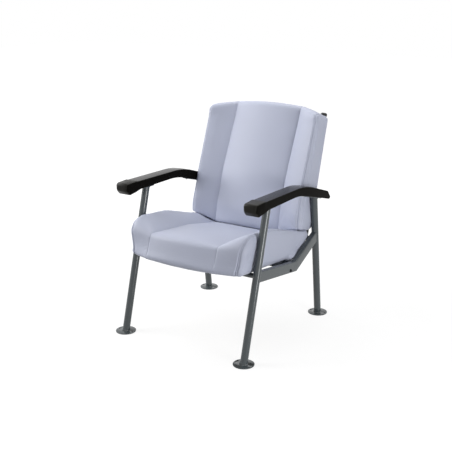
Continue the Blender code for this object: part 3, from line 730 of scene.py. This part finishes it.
def rail_tube(start, end, sizes):
    """A rectangular tube with rolled corners along a line from front to rear."""
    way = end - start
    tube = block((sizes.rail_width, way.length, sizes.rail_height))
    bevel_edges(tube, sizes.rail_corner, ROLL_STEPS, lambda edge: runs_along(edge, ALONG))
    turn = Matrix.Rotation(math.atan2(way.z, way.y), 4, "X")
    place(tube, Matrix.Translation((start + end) / 2) @ turn)
    return tube


class CHAIR_OT_rails(bpy.types.Operator):
    """Models the side rails and their risers, mitred at the bend and fitted round the legs"""

    bl_idname = "chair.rails"
    bl_label = "Side rails"

    def execute(self, context):
        sizes = context.scene.chair_sizes
        for side in SIDES:
            front = leg_point("front", side, RAIL_FRONT_Z)
            rear = leg_point("rear", side, RAIL_REAR_Z)
            kink = Vector((front.x, *RAIL_KINK))
            first = (kink - front).normalized()
            second = (rear - kink).normalized()
            mitre = (first + second).normalized()
            rail = rail_tube(front, kink + first * SPARE, sizes)
            cut(rail, kink - mitre * GAP / 2, mitre)
            riser = rail_tube(kink - second * SPARE, rear, sizes)
            cut(riser, kink + mitre * GAP / 2, -mitre)
            fit_to_leg(rail, "front", side, sizes)
            fit_to_leg(riser, "rear", side, sizes)
            dress(rail, f"rail_tube_{side}", "frame_paint", "paint", f"side_rail_{side}")
            dress(riser, f"riser_tube_{side}", "frame_paint", "paint", f"rail_riser_{side}")
        return {"FINISHED"}


class CHAIR_OT_cross_tubes(bpy.types.Operator):
    """Models the two cross tubes, the rear one fitted to the rear legs"""

    bl_idname = "chair.cross_tubes"
    bl_label = "Cross tubes"

    def execute(self, context):
        sizes = context.scene.chair_sizes
        for end in LEG_WAYS:
            node = f"{end}_cross_tube"
            low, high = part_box(node)
            axis = middle(node)
            start = Vector((low.x, axis.y, axis.z))
            stop = Vector((high.x, axis.y, axis.z))
            tube = rod(start, stop, sizes.cross_diameter / 2, TUBE_SIDES)
            if end == "rear":
                for side in SIDES:
                    fit_to_leg(tube, end, side, sizes)
            dress(tube, f"cross_rod_{end}", "frame_paint", "paint", node)
        return {"FINISHED"}


class CHAIR_OT_uprights(bpy.types.Operator):
    """Models the back uprights, saddled on the rear cross tube, and the domed caps on top"""

    bl_idname = "chair.uprights"
    bl_label = "Back uprights and caps"

    def execute(self, context):
        sizes = context.scene.chair_sizes
        cross = middle("rear_cross_tube")
        saddle = ACROSS * SADDLE_REACH
        for side in SIDES:
            node = f"back_upright_{side}"
            foot = Vector((middle(node).x, cross.y, cross.z))
            rim = sizes.upright_diameter / 2 * math.sin(BACK_LEAN)
            top_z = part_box(node)[1].z - rim
            top = foot + BACK_WAY * ((top_z - foot.z) / BACK_WAY.z)
            tube = rod(foot + BACK_WAY * SADDLE_START, top, sizes.upright_diameter / 2, TUBE_SIDES)
            subtract(tube, rod(foot - saddle, foot + saddle, sizes.cross_diameter / 2 + GAP, TUBE_SIDES))
            dress(tube, f"back_tube_{side}", "frame_paint", "paint", node)

            base = top + BACK_WAY * GAP
            cap = rod(base, base + BACK_WAY * sizes.cap_height, sizes.cap_diameter / 2, TUBE_SIDES)
            limit = base.dot(BACK_WAY) + sizes.cap_height - RIM_PICK
            dome = sizes.cap_height - sizes.cap_skirt
            bevel_edges(
                cap, dome, DOME_STEPS, lambda edge: all(end.co.dot(BACK_WAY) > limit for end in edge.verts)
            )
            dress(cap, f"dome_cap_{side}", "black_cap", "nylon", f"upright_cap_{side}")
        return {"FINISHED"}


class CHAIR_OT_plates(bpy.types.Operator):
    """Finishes the plates under the armrests and the seat brackets with broken edges"""

    bl_idname = "chair.plates"
    bl_label = "Plates and brackets"

    def execute(self, context):
        sizes = context.scene.chair_sizes
        for side in SIDES:
            for kind in ("front_arm_plate", "rear_arm_plate", "seat_bracket"):
                node = f"{kind}_{side}"
                plate = from_solid(node)
                break_edges(plate, sizes.plate_edge)
                dress(plate, f"{node}_finished", "frame_paint", "paint", node)
        return {"FINISHED"}


def bead(points, radius):
    """A rippled weld bead along a closed line."""
    obj = add_shape(bpy.ops.mesh.primitive_circle_add, vertices=len(points))
    for vertex, point in zip(obj.data.vertices, points):
        vertex.co = point
    bpy.ops.object.convert(target="CURVE")
    obj = bpy.context.object
    for index, point in enumerate(obj.data.splines[0].points):
        point.radius = 1.0 + RIPPLE * math.sin(index * math.tau / RIPPLE_POINTS)
    obj.data.bevel_depth = radius
    obj.data.bevel_resolution = 2
    bpy.ops.object.convert(target="MESH")
    return bpy.context.object


def ring(centre, side_way, long_way, radius, long_radius, steps):
    """Points round an ellipse."""
    angles = [math.tau * step / steps for step in range(steps)]
    return [
        centre + side_way * (radius * math.cos(angle)) + long_way * (long_radius * math.sin(angle))
        for angle in angles
    ]


class CHAIR_OT_welds(bpy.types.Operator):
    """Lays the weld beads at the feet and tops of the legs and at the ends of the front cross tube"""

    bl_idname = "chair.welds"
    bl_label = "Weld beads"

    def execute(self, context):
        sizes = context.scene.chair_sizes
        radius = sizes.leg_diameter / 2
        beads = []
        for end, way in LEG_WAYS.items():
            normal = PLATE_NORMALS[end]
            slant = way.dot(normal)
            for side in SIDES:
                foot = leg_point(end, side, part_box(f"{end}_leg_{side}")[0].z)
                beads.append(ring(foot, ACROSS, ALONG, radius, radius / way.z, LEG_BEAD_POINTS))
                foot = flange_middle(end, side)
                top = foot + way * ((under_plate(end, side) - foot).dot(normal) / slant)
                beads.append(ring(top, ACROSS, normal.cross(ACROSS), radius, radius / slant, LEG_BEAD_POINTS))
        tube = middle("front_cross_tube")
        half = sizes.cross_diameter / 2
        for sign in SIDES.values():
            centre = Vector((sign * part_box("front_cross_tube")[1].x, tube.y, tube.z))
            beads.append(ring(centre, ALONG, UP, half, half, CROSS_BEAD_POINTS))
        pieces = [bead(points, sizes.weld_bead) for points in beads]
        pick_only(pieces[0])
        for piece in pieces:
            piece.select_set(True)
        bpy.ops.object.join()
        dress(pieces[0], "weld_beads", "frame_paint", "paint")
        return {"FINISHED"}


# Armrests


def rounded(corners, steps):
    """Outline with an arc at each corner."""
    points = []
    count = len(corners)
    for index, (y, z, radius) in enumerate(corners):
        corner = Vector((y, z))
        before = Vector(corners[index - 1][:2]) - corner
        after = Vector(corners[(index + 1) % count][:2]) - corner
        half = before.angle(after) / 2
        reach = min(radius / math.tan(half), MOST_OF_AN_EDGE * min(before.length, after.length))
        start = corner + before.normalized() * reach
        stop = corner + after.normalized() * reach
        for step in range(steps + 1):
            share = step / steps
            points.append(start.lerp(corner, share).lerp(corner.lerp(stop, share), share))
    return points


def span_at(outline, y):
    """Lowest and highest point of a closed outline at a place along it."""
    heights = []
    for start, stop in zip(outline, outline[1:] + outline[:1]):
        if min(start[0], stop[0]) <= y <= max(start[0], stop[0]) and start[0] != stop[0]:
            heights.append(start[1] + (stop[1] - start[1]) * (y - start[0]) / (stop[0] - start[0]))
    return min(heights), max(heights)


def round_nose(arm, outline, roll):
    """Rounds an armrest's front end: its long edges, more towards the tip, and its corners from above."""
    front = min(y for y, _ in outline)
    sides = [vertex.co.x for vertex in arm.data.vertices]
    centre = (min(sides) + max(sides)) / 2
    half = (max(sides) - min(sides)) / 2
    for vertex in arm.data.vertices:
        x, y, z = vertex.co
        behind = max(y - front, NOSE_LEAST)
        if behind > NOSE_REACH:
            continue
        edge = NOSE_EDGE + (roll - NOSE_EDGE) * behind / NOSE_REACH
        low, high = span_at(outline, front + behind)
        rise = min(edge, (high - low) / 2)
        core_x = min(max(x, centre - half + edge), centre + half - edge)
        core_z = min(max(z, low + rise), high - rise)
        past = math.hypot((x - core_x) / edge, (z - core_z) / max(rise, NOSE_LEAST))
        if past > 1:
            x = core_x + (x - core_x) / past
            z = core_z + (z - core_z) / past
        ahead = max(NOSE_ROUND - behind, 0.0)
        inset = NOSE_ROUND - math.sqrt(NOSE_ROUND**2 - ahead**2)
        vertex.co = (centre + (x - centre) * (1 - inset / half), y, z)


def lower_pad(arm):
    """Steps the top of an armrest down behind its nose, less and less towards the rear."""
    start, stop = PAD_FADE_Y
    for vertex in arm.data.vertices:
        y = vertex.co.y
        if vertex.co.z > PAD_TOP_Z and y > PAD_SPLIT_Y + PAD_SPLIT_WIDTH / 2:
            vertex.co.z -= PAD_DROP * min(max((stop - y) / (stop - start), 0.0), 1.0)
    arm.data.update()


class CHAIR_OT_armrests(bpy.types.Operator):
    """Models the moulded armrests: a bent bar with rolled edges, a nose cap and a lower top pad"""

    bl_idname = "chair.armrests"
    bl_label = "Armrests"

    def execute(self, context):
        sizes = context.scene.chair_sizes
        outline = rounded(ARM_OUTLINE, ARC_STEPS)
        for side in SIDES:
            node = f"armrest_{side}"
            low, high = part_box(node)
            arm = add_shape(bpy.ops.mesh.primitive_circle_add, vertices=len(outline), fill_type="NGON")
            for vertex, (y, z) in zip(arm.data.vertices, outline):
                vertex.co = (low.x, y, z)
            with editing(arm):
                bpy.ops.mesh.extrude_region_move(TRANSFORM_OT_translate={"value": (high.x - low.x, 0, 0)})
                bpy.ops.mesh.select_all(action="SELECT")
                bpy.ops.mesh.remove_doubles(threshold=MERGE)
                bpy.ops.mesh.normals_make_consistent(inside=False)
            bevel_edges(arm, sizes.arm_roll, ROLL_STEPS, lambda edge: not runs_along(edge, ACROSS))
            nose = [low.y + reach for reach in NOSE_CUTS]
            with editing(arm):
                for y in (*nose, PAD_SPLIT_Y, PAD_SPLIT_Y + PAD_SPLIT_WIDTH):
                    bpy.ops.mesh.select_all(action="SELECT")
                    bpy.ops.mesh.bisect(plane_co=(0, y, 0), plane_no=ALONG)
            round_nose(arm, outline, sizes.arm_roll)
            lower_pad(arm)
            dress(arm, f"arm_moulding_{side}", "armrest_moulding", "moulding", node)
            for key in ("pad", "nose"):
                arm.data.materials.append(finish_for(key))
            for face in arm.data.polygons:
                # Nose faces that don't face sideways take the lighter nose colour as painted sheen, and the
                # top behind the nose takes the pad finish
                if face.center.y < PAD_SPLIT_Y and abs(face.normal.x) < PARTLY_FACING:
                    face.material_index = 2
                if face.center.y > PAD_SPLIT_Y + PAD_SPLIT_WIDTH and face.normal.z > PARTLY_FACING:
                    face.material_index = 1
        return {"FINISHED"}


# Boards and fasteners


def turned_hem(board, along, width):
    """Cuts a border into a board for the turned-in cover, and returns a test for the border's faces."""
    tests = []
    with editing(board):
        for way in (ACROSS, along):
            reach = [vertex.co.dot(way) for vertex in board.data.vertices]
            for sign, edge in ((1, max(reach)), (-1, -min(reach))):
                bpy.ops.mesh.select_all(action="SELECT")
                bpy.ops.mesh.bisect(plane_co=way * sign * (edge - width), plane_no=way * sign)
                tests.append((way * sign, edge - width))
    return lambda spot: any(spot.dot(way) > limit for way, limit in tests)


class CHAIR_OT_boards(bpy.types.Operator):
    """Finishes the plywood boards that carry the padding, with the cover turned in over their edges"""

    bl_idname = "chair.boards"
    bl_label = "Plywood boards"

    def execute(self, context):
        sizes = context.scene.chair_sizes
        for part, normal in CUSHION_NORMALS.items():
            node = f"{part}_board"
            board = from_solid(node)
            break_edges(board, sizes.board_edge)
            hem = turned_hem(board, ACROSS.cross(normal), sizes.cover_hem)
            dress(board, f"{node}_finished", "plywood", "plywood", node)
            board.data.materials.append(finish_for("vinyl"))
            for face in board.data.polygons:
                if hem(face.center) or abs(face.normal.dot(normal)) < FACING:
                    face.material_index = 1
        return {"FINISHED"}


def head_and_length(node, outward):
    """Middle of a fastener's outer end and its length along its axis."""
    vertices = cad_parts[node].data.vertices
    corners = {tuple(round(value, 6) for value in vertex.co) for vertex in vertices}
    points = [Vector(corner) for corner in corners]
    reach = [point.dot(outward) for point in points]
    face = [point for point, share in zip(points, reach) if share > max(reach) - HEAD_FACE]
    head = sum(face, Vector()) / len(face)
    return head, max(reach) - min(reach)


def point_outwards(head, outward):
    """Place of a fastener whose head's top is at a point, with +Z outwards."""
    return Matrix.Translation(head) @ outward.to_track_quat("Z", "Y").to_matrix().to_4x4()


def headed_pin(whole, head, radius, sides, dome, steps, shoulder, tip=0.0, taper=1.0):
    """A fastener with a domed head, its top at the origin, and a shank that may end in a tapered tip."""
    pin = rod(-UP * head, Vector(), radius, sides)
    bevel_edges(pin, dome, steps, lambda edge: all(end.co.z > -HEAD_PICK for end in edge.verts))
    with editing(pin):
        select(pin, "FACE", lambda face: face.normal.z < -FACING)
        bpy.ops.mesh.inset(thickness=shoulder)
        bpy.ops.mesh.extrude_region_move(TRANSFORM_OT_translate={"value": (0, 0, head + tip - whole)})
        if tip:
            bpy.ops.mesh.extrude_region_move(TRANSFORM_OT_translate={"value": (0, 0, -tip)})
            bpy.ops.transform.resize(value=(taper, taper, 1))
    return pin


def pan_screw(whole):
    """A pan head screw with a cross recess."""
    screw = headed_pin(whole, **SCREW)
    for size in SCREW_RECESS:
        subtract(screw, block(size))
    return screw


class CHAIR_OT_screws(bpy.types.Operator):
    """Models a pan head screw for each length and copies it to the armrests, seat and back"""

    bl_idname = "chair.screws"
    bl_label = "Screws"

    def execute(self, context):
        ways = {
            "arm_screw_front": -PLATE_NORMALS["front"],
            "arm_screw_rear": -PLATE_NORMALS["rear"],
            "seat_screw": -CUSHION_NORMALS["seat"],
            "back_screw": -CUSHION_NORMALS["back"],
        }
        patterns = {}
        for group, outward in ways.items():
            for node in sorted(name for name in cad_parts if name.startswith(group)):
                head, whole = head_and_length(node, outward)
                key = round(whole, 4)
                if key not in patterns:
                    patterns[key] = pan_screw(whole)
                screw = copy_piece(patterns[key])
                place(screw, point_outwards(head, outward))
                dress(screw, f"{node}_finished", "zinc", "zinc", node)
        for pattern in patterns.values():
            bpy.data.objects.remove(pattern)
        return {"FINISHED"}


class CHAIR_OT_bolts(bpy.types.Operator):
    """Models the button head bolts through the rails and the hexagon nuts on the brackets"""

    bl_idname = "chair.bolts"
    bl_label = "Bolts and nuts"

    def execute(self, context):
        bore = ACROSS * NUT_BORE_REACH
        for side, sign in SIDES.items():
            outward = ACROSS * sign
            node = f"bracket_bolt_{side}"
            head, whole = head_and_length(node, outward)
            bolt = headed_pin(whole, **BOLT)
            subtract(bolt, rod(-UP * SOCKET_DEPTH, UP * SOCKET_SPARE, SOCKET_RADIUS, HEXAGON))
            place(bolt, point_outwards(head, outward))
            dress(bolt, f"{node}_finished", "black_bolt", "oxide", node)

            node = f"bracket_nut_{side}"
            centre = middle(node)
            half = ACROSS * extent(node, 0) / 2
            nut = rod(centre - half, centre + half, extent(node, 2) / 2, HEXAGON)
            bevel_edges(nut, NUT_EDGE, SINK_STEPS, lambda edge: not runs_along(edge, ACROSS))
            subtract(nut, rod(centre - bore, centre + bore, NUT_BORE, HOLE_SIDES))
            dress(nut, f"{node}_finished", "zinc", "zinc", node)
        return {"FINISHED"}


# Padding


def coordinates(mesh):
    """Vertex places as an array."""
    places = np.empty(len(mesh.vertices) * 3, dtype=np.float32)
    mesh.vertices.foreach_get("co", places)
    return places.reshape(-1, 3)


def normals(mesh):
    """Vertex normals as an array."""
    ways = np.empty(len(mesh.vertices) * 3, dtype=np.float32)
    mesh.vertex_normals.foreach_get("vector", ways)
    return ways.reshape(-1, 3)


def put_back(mesh, places):
    """Writes vertex places back to a mesh."""
    mesh.vertices.foreach_set("co", np.ascontiguousarray(places, dtype=np.float32).ravel())
    mesh.update()


def weigh(obj, name, weights):
    """A vertex group from an array of weights."""
    group = obj.vertex_groups.new(name=name)
    for index, weight in enumerate(weights):
        if weight > LEAST_WEIGHT:
            group.add([index], float(weight), "REPLACE")


def bump(values, centre, spread):
    """A smooth hump of 1 at a centre."""
    return np.exp(-(((values - centre) / spread) ** 2))


def ramp(values, start, run):
    """From 0 at a start to 1 after a run."""
    return np.clip((values - start) / run, 0.0, 1.0)


def fold_gap(places):
    """Distance of each vertex from the nearer fold."""
    return np.abs(np.abs(places[:, 0]) - CREASE_X)


def seam_gap(places, ways, plane):
    """Distance along the cover from each vertex to a seam's plane."""
    normal, offset = plane
    normal = np.array(normal)
    facing = ways @ normal
    slant = np.sqrt(np.maximum(normal @ normal - facing**2, LEAST_SLANT))
    return np.abs((places @ normal - offset) / slant)


def on_both_sides(*seams):
    """The planes of some seams, and of the same seams on the right side."""
    planes = []
    for normal, offset in seams:
        planes.append((normal, offset))
        planes.append((Vector((-normal.x, normal.y, normal.z)), offset))
    return planes


def seat_seams(places, ways):
    """Distance to the nearest sewn line of the seat cover, for each vertex."""
    return np.min([seam_gap(places, ways, plane) for plane in on_both_sides(*SEAT_SEAMS)], axis=0)


def back_seams(places, ways):
    """Distance to the nearest sewn line of the back cover, for each vertex."""
    rim = np.min([seam_gap(places, ways, plane) for plane in on_both_sides(BACK_RIM_SEAM)], axis=0)
    side = seam_gap(places, ways, BACK_SIDE_SEAM)
    return np.where(np.abs(places[:, 0]) > BACK_SIDE_X, np.minimum(rim, side), rim)


def capped(move, limit):
    """Moves no longer than a limit."""
    size = np.maximum(np.linalg.norm(move, axis=1), LEAST_MOVE)
    return move * np.minimum(1.0, limit / size)[:, None]


def neighbours(nodes):
    """Search tree over the solids that a cover must stay clear of."""
    points = []
    faces = []
    for node in nodes:
        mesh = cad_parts[node].data
        start = len(points)
        points.extend(vertex.co.copy() for vertex in mesh.vertices)
        faces.extend([start + index for index in face.vertices] for face in mesh.polygons)
    return BVHTree.FromPolygons(points, faces)


def free_room(places, ways, hard, soft):
    """How far each vertex may move: up to the frame, and a share of the way to the other cushion."""
    to_frame = np.array([hard.find_nearest(Vector(spot))[3] for spot in places])
    nearest = np.array([soft.find_nearest(Vector(spot))[0] for spot in places])
    gap = np.maximum(np.linalg.norm(nearest - places, axis=1), TINY)
    facing = np.sum((nearest - places) * ways, axis=1) / gap
    share = np.interp(np.abs(places[:, 0]), JOIN_X, JOIN_SHARES)
    return np.minimum(to_frame, share * gap / np.maximum(facing, LEAST_FACING))


def board_gap(places, part):
    """Distance of each vertex from the face of the padding that lies on its board."""
    heights = places @ np.array(CUSHION_NORMALS[part])
    return heights - heights.min()


def over_board(places, part):
    """1 over the board that carries a cushion and 0 outside its outline."""
    low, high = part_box(f"{part}_board")
    axis = 1 if part == "seat" else 2
    inside = np.minimum(places[:, 0] - low.x, high.x - places[:, 0])
    along = np.minimum(places[:, axis] - low[axis], high[axis] - places[:, axis])
    return np.clip(np.minimum(inside, along) / BOARD_MARGIN + 1.0, 0.0, 1.0)


def fullness(places, part, sizes):
    """How far each part of a cover may fill out: more at the corners that the foam pushes into."""
    across = np.abs(places[:, 0])
    deep = places[:, 1]
    high = places[:, 2]
    rise = board_gap(places, part)
    if part == "seat":
        wide, front, level = SEAT_SHOULDER
        shoulder = bump(across, *wide) * bump(deep, *front) * bump(high, *level)
        hem = np.interp(deep, SEAT_HEM_Y, SEAT_HEM_SHARES) * bump(rise, *SEAT_HEM)
        shares = (shoulder, hem, SEAT_REAR_SHARE * ramp(deep, *SEAT_REAR))
    else:
        top = BACK_TOP_SHARE * bump(across, *BACK_TOP[0]) * bump(high, *BACK_TOP[1])
        foot = bump(across, *BACK_FOOT[0]) * bump(high, *BACK_FOOT[1])
        shares = (top, foot, BACK_EDGE_SHARE * ramp(across, *BACK_EDGE) * bump(rise, *BACK_EDGE_HEM))
    return sizes.fill + sizes.corner_fill * np.max(shares, axis=0)


def fill_out(obj, part, trees, sizes):
    """Moves a cover out to the full size of its padding, clear of its neighbours."""
    places = coordinates(obj.data)
    ways = normals(obj.data)
    room = free_room(places, ways, *trees)
    reach = np.clip(room - sizes.clearance, 0.0, fullness(places, part, sizes))
    resting = (1.0 - ramp(board_gap(places, part), *RESTING)) * over_board(places, part)
    put_back(obj.data, places + ways * (reach * (1.0 - resting))[:, None])


def blow_up(obj, part, seams, trees, sizes):
    """Fills a cover out from inside, held at its creases, seams and board."""
    rest = coordinates(obj.data)
    ways = normals(obj.data)
    crease = bump(np.abs(rest[:, 0]), CREASE_X, CREASE_GRIP)
    sewn = bump(seams(rest, ways), 0.0, SEAM_GRIP)
    fixed = (1.0 - ramp(board_gap(rest, part), *HELD)) * over_board(rest, part)
    weigh(obj, "held", np.max((crease, sewn, fixed), axis=0))
    pick_only(obj)
    cloth = obj.modifiers.new("cloth", "CLOTH")
    cloth.settings.vertex_group_mass = "held"
    cloth.settings.mass = sizes.cloth_mass
    cloth.settings.use_pressure = True
    cloth.settings.uniform_pressure_force = sizes.pressure
    cloth.settings.effector_weights.gravity = 0
    cloth.collision_settings.use_collision = False
    cloth.point_cache.frame_start = 1
    cloth.point_cache.frame_end = sizes.frames
    scene = bpy.context.scene
    for step in range(1, sizes.frames + 1):
        scene.frame_set(step)
    bpy.ops.object.modifier_apply(modifier=cloth.name)
    scene.frame_set(1)
    move = coordinates(obj.data) - rest
    limit = np.clip(free_room(rest, ways, *trees) - sizes.clearance, 0.0, sizes.swell)
    put_back(obj.data, rest + capped(move, limit))
    obj.vertex_groups.clear()


def press_seams(obj, part, seams, sizes):
    """Refines the cover along its seams and folds and draws it in there."""
    places = coordinates(obj.data)
    lines = np.minimum(seams(places, normals(obj.data)), fold_gap(places))
    near = (lines < SEAM_REACH) & (board_gap(places, part) > SEAM_FOOT)
    with editing(obj):
        select(obj, "FACE", lambda face: all(near[corner.index] for corner in face.verts))
        bpy.ops.mesh.subdivide(number_cuts=1)
    places = coordinates(obj.data)
    ways = normals(obj.data)
    seam = sizes.seam_depth * bump(seams(places, ways), 0.0, sizes.seam_width)
    fold = sizes.crease_depth * bump(fold_gap(places), 0.0, sizes.crease_width)
    depth = np.maximum(seam, fold) * ramp(board_gap(places, part), *SEWN)
    put_back(obj.data, places - ways * depth[:, None])


def tuck_in(obj, tree, sizes):
    """Draws a cover in where it meets the other cushion."""
    places = coordinates(obj.data)
    gap = np.array([tree.find_nearest(Vector(spot))[3] for spot in places])
    inner = np.interp(np.abs(places[:, 0]), JOIN_X, (1.0, 0.0))
    depth = sizes.tuck_depth * inner * bump(gap, 0.0, sizes.tuck_width)
    put_back(obj.data, places - normals(obj.data) * depth[:, None])


def make_cover(context, part, other, seams):
    """A cover from its solid: an even mesh, softened, filled out, blown up, smoothed and sewn."""
    sizes = context.scene.chair_sizes
    node = f"{part}_cushion"
    cover = from_solid(node)
    cover.data.remesh_voxel_size = sizes.voxel
    bpy.ops.object.voxel_remesh()
    places = coordinates(cover.data)
    weigh(cover, "soft", 1.0 - CREASE_HOLD * bump(np.abs(places[:, 0]), CREASE_X, CREASE_GUARD))
    modify(cover, "SMOOTH", factor=0.5, iterations=14, vertex_group="soft")
    cover.vertex_groups.clear()
    put_back(cover.data, places + capped(coordinates(cover.data) - places, sizes.soften))
    apart = (node, f"{other}_cushion", f"{part}_board")
    rigid = [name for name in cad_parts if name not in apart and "screw" not in name]
    trees = (neighbours(rigid), neighbours([f"{other}_cushion"]))
    fill_out(cover, part, trees, sizes)
    blow_up(cover, part, seams, trees, sizes)
    modify(cover, "SUBSURF", levels=1, render_levels=1)
    press_seams(cover, part, seams, sizes)
    tuck_in(cover, trees[1], sizes)
    dress(cover, f"{part}_cover", "vinyl", "vinyl", node)
    return cover


def seam_lines(cover, plane):
    """The lines where a seam's plane meets a cover, each a list of places with their normals."""
    trace = copy_piece(cover)
    normal, offset = plane
    with editing(trace):
        bpy.ops.mesh.bisect(plane_co=normal * (offset / normal.length_squared), plane_no=normal)
    links = {}
    for edge in trace.data.edges:
        if edge.select:
            first, second = edge.vertices
            links.setdefault(first, []).append(second)
            links.setdefault(second, []).append(first)
    lines = []
    while links:
        here = next((corner for corner, ends in links.items() if len(ends) == 1), next(iter(links)))
        line = [here]
        while links.get(here):
            after = links[here].pop()
            links[after].remove(here)
            line.append(after)
            here = after
        links = {corner: ends for corner, ends in links.items() if ends}
        corners = [trace.data.vertices[index] for index in line]
        lines.append([(corner.co.copy(), corner.normal.copy()) for corner in corners])
    bpy.data.objects.remove(trace)
    return lines


def stitch_places(line, pitch):
    """Places of the stitches along a seam, an even pitch apart."""
    places = []
    walked = 0.0
    for (start, normal), (stop, _) in zip(line, line[1:]):
        run = stop - start
        while run.length > TINY and walked <= run.length:
            way = run.normalized()
            side = normal.cross(way).normalized()
            turn = Matrix((way, side, way.cross(side))).transposed()
            places.append((start + way * walked, turn))
            walked += pitch
        walked -= run.length
    return places


def stitch_pattern(sizes):
    """One stitch along X: a short length of thread with round ends."""
    radius = sizes.thread / 2
    stitch = add_shape(bpy.ops.mesh.primitive_uv_sphere_add, segments=6, ring_count=4, radius=radius)
    reach = (sizes.stitch_length - sizes.thread) / 2
    with editing(stitch):
        for sign in SIDES.values():
            select(stitch, "VERT", lambda vertex: vertex.co.x * sign > TINY)
            bpy.ops.transform.translate(value=(sign * reach, 0, 0))
    return stitch


def sew(context, cover, name, planes, keep):
    """Lays the stitches of a cover's seams as one piece."""
    sizes = context.scene.chair_sizes
    stitch = stitch_pattern(sizes)
    corners = coordinates(stitch.data)
    faces = [list(face.vertices) for face in stitch.data.polygons]
    bpy.data.objects.remove(stitch)
    points = []
    shells = []
    for plane in planes:
        for line in seam_lines(cover, plane):
            for spot, turn in stitch_places(line, sizes.stitch_pitch):
                if keep(spot):
                    start = len(points) * len(corners)
                    points.append(corners @ np.array(turn).T + np.array(spot))
                    shells.extend([start + corner for corner in face] for face in faces)
    if not points:
        raise RuntimeError(f"{name} found no seam")
    mesh = bpy.data.meshes.new(name)
    mesh.from_pydata(np.concatenate(points).tolist(), [], shells)
    thread = bpy.data.objects.new(name, mesh)
    context.collection.objects.link(thread)
    dress(thread, name, "vinyl", "thread")


def clear_of_board(cover, part):
    """A test for places of a cover that aren't close to its board."""
    normal = CUSHION_NORMALS[part]
    base = (coordinates(cover.data) @ np.array(normal)).min()
    return lambda spot: spot.dot(normal) - base > STITCH_FOOT


class CHAIR_OT_seat(bpy.types.Operator):
    """Models the padded seat with its two side bolsters and double seams"""

    bl_idname = "chair.seat"
    bl_label = "Seat padding"

    def execute(self, context):
        cover = make_cover(context, "seat", "back", seat_seams)
        planes = on_both_sides(*SEAT_SEAMS)
        sew(context, cover, "seat_stitching", planes, clear_of_board(cover, "seat"))
        return {"FINISHED"}


class CHAIR_OT_back(bpy.types.Operator):
    """Models the padded back with its two wings and sewn rim"""

    bl_idname = "chair.back"
    bl_label = "Back padding"

    def execute(self, context):
        cover = make_cover(context, "back", "seat", back_seams)
        planes = on_both_sides(BACK_RIM_SEAM)
        sew(context, cover, "back_rim_stitching", planes, clear_of_board(cover, "back"))
        sew(context, cover, "back_side_stitching", [BACK_SIDE_SEAM], lambda spot: abs(spot.x) > BACK_SIDE_X)
        return {"FINISHED"}


# Stage


class CHAIR_OT_stage(bpy.types.Operator):
    """Sets the pale floor, the soft lamps, the surrounding light and the camera"""

    bl_idname = "chair.stage"
    bl_label = "Stage"

    def execute(self, context):
        scene = context.scene
        scene.view_settings.view_transform = "Standard"

        floor = add_shape(bpy.ops.mesh.primitive_plane_add, size=FLOOR_SIZE, location=(0, 0, FLOOR_Z))
        floor.name = "floor"
        floor.data.materials.append(finish_for("floor"))

        scene.world = bpy.data.worlds.new("Studio")
        scene.world.use_nodes = True
        tree = scene.world.node_tree
        tree.nodes.clear()
        level = add_node(tree, "ShaderNodeMapRange", {"Value": seen_rays(tree), **ROOM_LIGHT})
        light = {"Color": WHITE, "Strength": level.outputs["Result"]}
        sky = add_node(tree, "ShaderNodeBackground", light)
        add_node(tree, "ShaderNodeOutputWorld", {"Surface": sky.outputs[0]})

        for name, spot, size, watts in LAMPS:
            turn = (spot - LAMP_TARGET).to_track_quat("Z", "Y").to_euler()
            bpy.ops.object.light_add(type="AREA", location=spot, rotation=turn)
            lamp = bpy.context.object
            lamp.name = name
            lamp.data.shape = "DISK"
            lamp.data.size = size
            lamp.data.energy = watts

        bpy.ops.object.camera_add(location=CAMERA_PLACE, rotation=CAMERA_TURN)
        camera = bpy.context.object
        camera.data.sensor_width = CAMERA_SENSOR
        camera.data.lens = CAMERA_LENS
        scene.camera = camera
        return {"FINISHED"}


class CHAIR_PT_panel(bpy.types.Panel):
    """Lists the steps that model the chair"""

    bl_label = "Patient rest chair"
    bl_idname = "CHAIR_PT_panel"
    bl_space_type = "VIEW_3D"
    bl_region_type = "UI"
    bl_category = "Chair"

    def draw(self, context):
        column = self.layout.column()
        for step in STEPS:
            column.operator(step.bl_idname)
        for group in (context.scene.chair_sizes, context.scene.chair_colours):
            for key in group.__annotations__:
                column.prop(group, key)


STEPS = (
    CHAIR_OT_stage,
    CHAIR_OT_legs,
    CHAIR_OT_flanges,
    CHAIR_OT_rails,
    CHAIR_OT_cross_tubes,
    CHAIR_OT_uprights,
    CHAIR_OT_plates,
    CHAIR_OT_welds,
    CHAIR_OT_armrests,
    CHAIR_OT_boards,
    CHAIR_OT_screws,
    CHAIR_OT_bolts,
    CHAIR_OT_seat,
    CHAIR_OT_back,
)
CLASSES = (ChairSizes, ChairColours, *STEPS, CHAIR_PT_panel)


def register():
    """Registers the classes and hangs the sizes and colours on the scene."""
    for item in CLASSES:
        bpy.utils.register_class(item)
    bpy.types.Scene.chair_sizes = PointerProperty(type=ChairSizes)
    bpy.types.Scene.chair_colours = PointerProperty(type=ChairColours)


def unregister():
    """Takes the sizes, colours and classes away again."""
    del bpy.types.Scene.chair_colours
    del bpy.types.Scene.chair_sizes
    for item in reversed(CLASSES):
        bpy.utils.unregister_class(item)


def main():
    """Models the chair piece by piece."""
    register()
    bpy.ops.chair.stage()
    bpy.ops.chair.legs()
    bpy.ops.chair.flanges()
    bpy.ops.chair.rails()
    bpy.ops.chair.cross_tubes()
    bpy.ops.chair.uprights()
    bpy.ops.chair.plates()
    bpy.ops.chair.welds()
    bpy.ops.chair.armrests()
    bpy.ops.chair.boards()
    bpy.ops.chair.screws()
    bpy.ops.chair.bolts()
    bpy.ops.chair.seat()
    bpy.ops.chair.back()


if __name__ == "__main__":
    main()
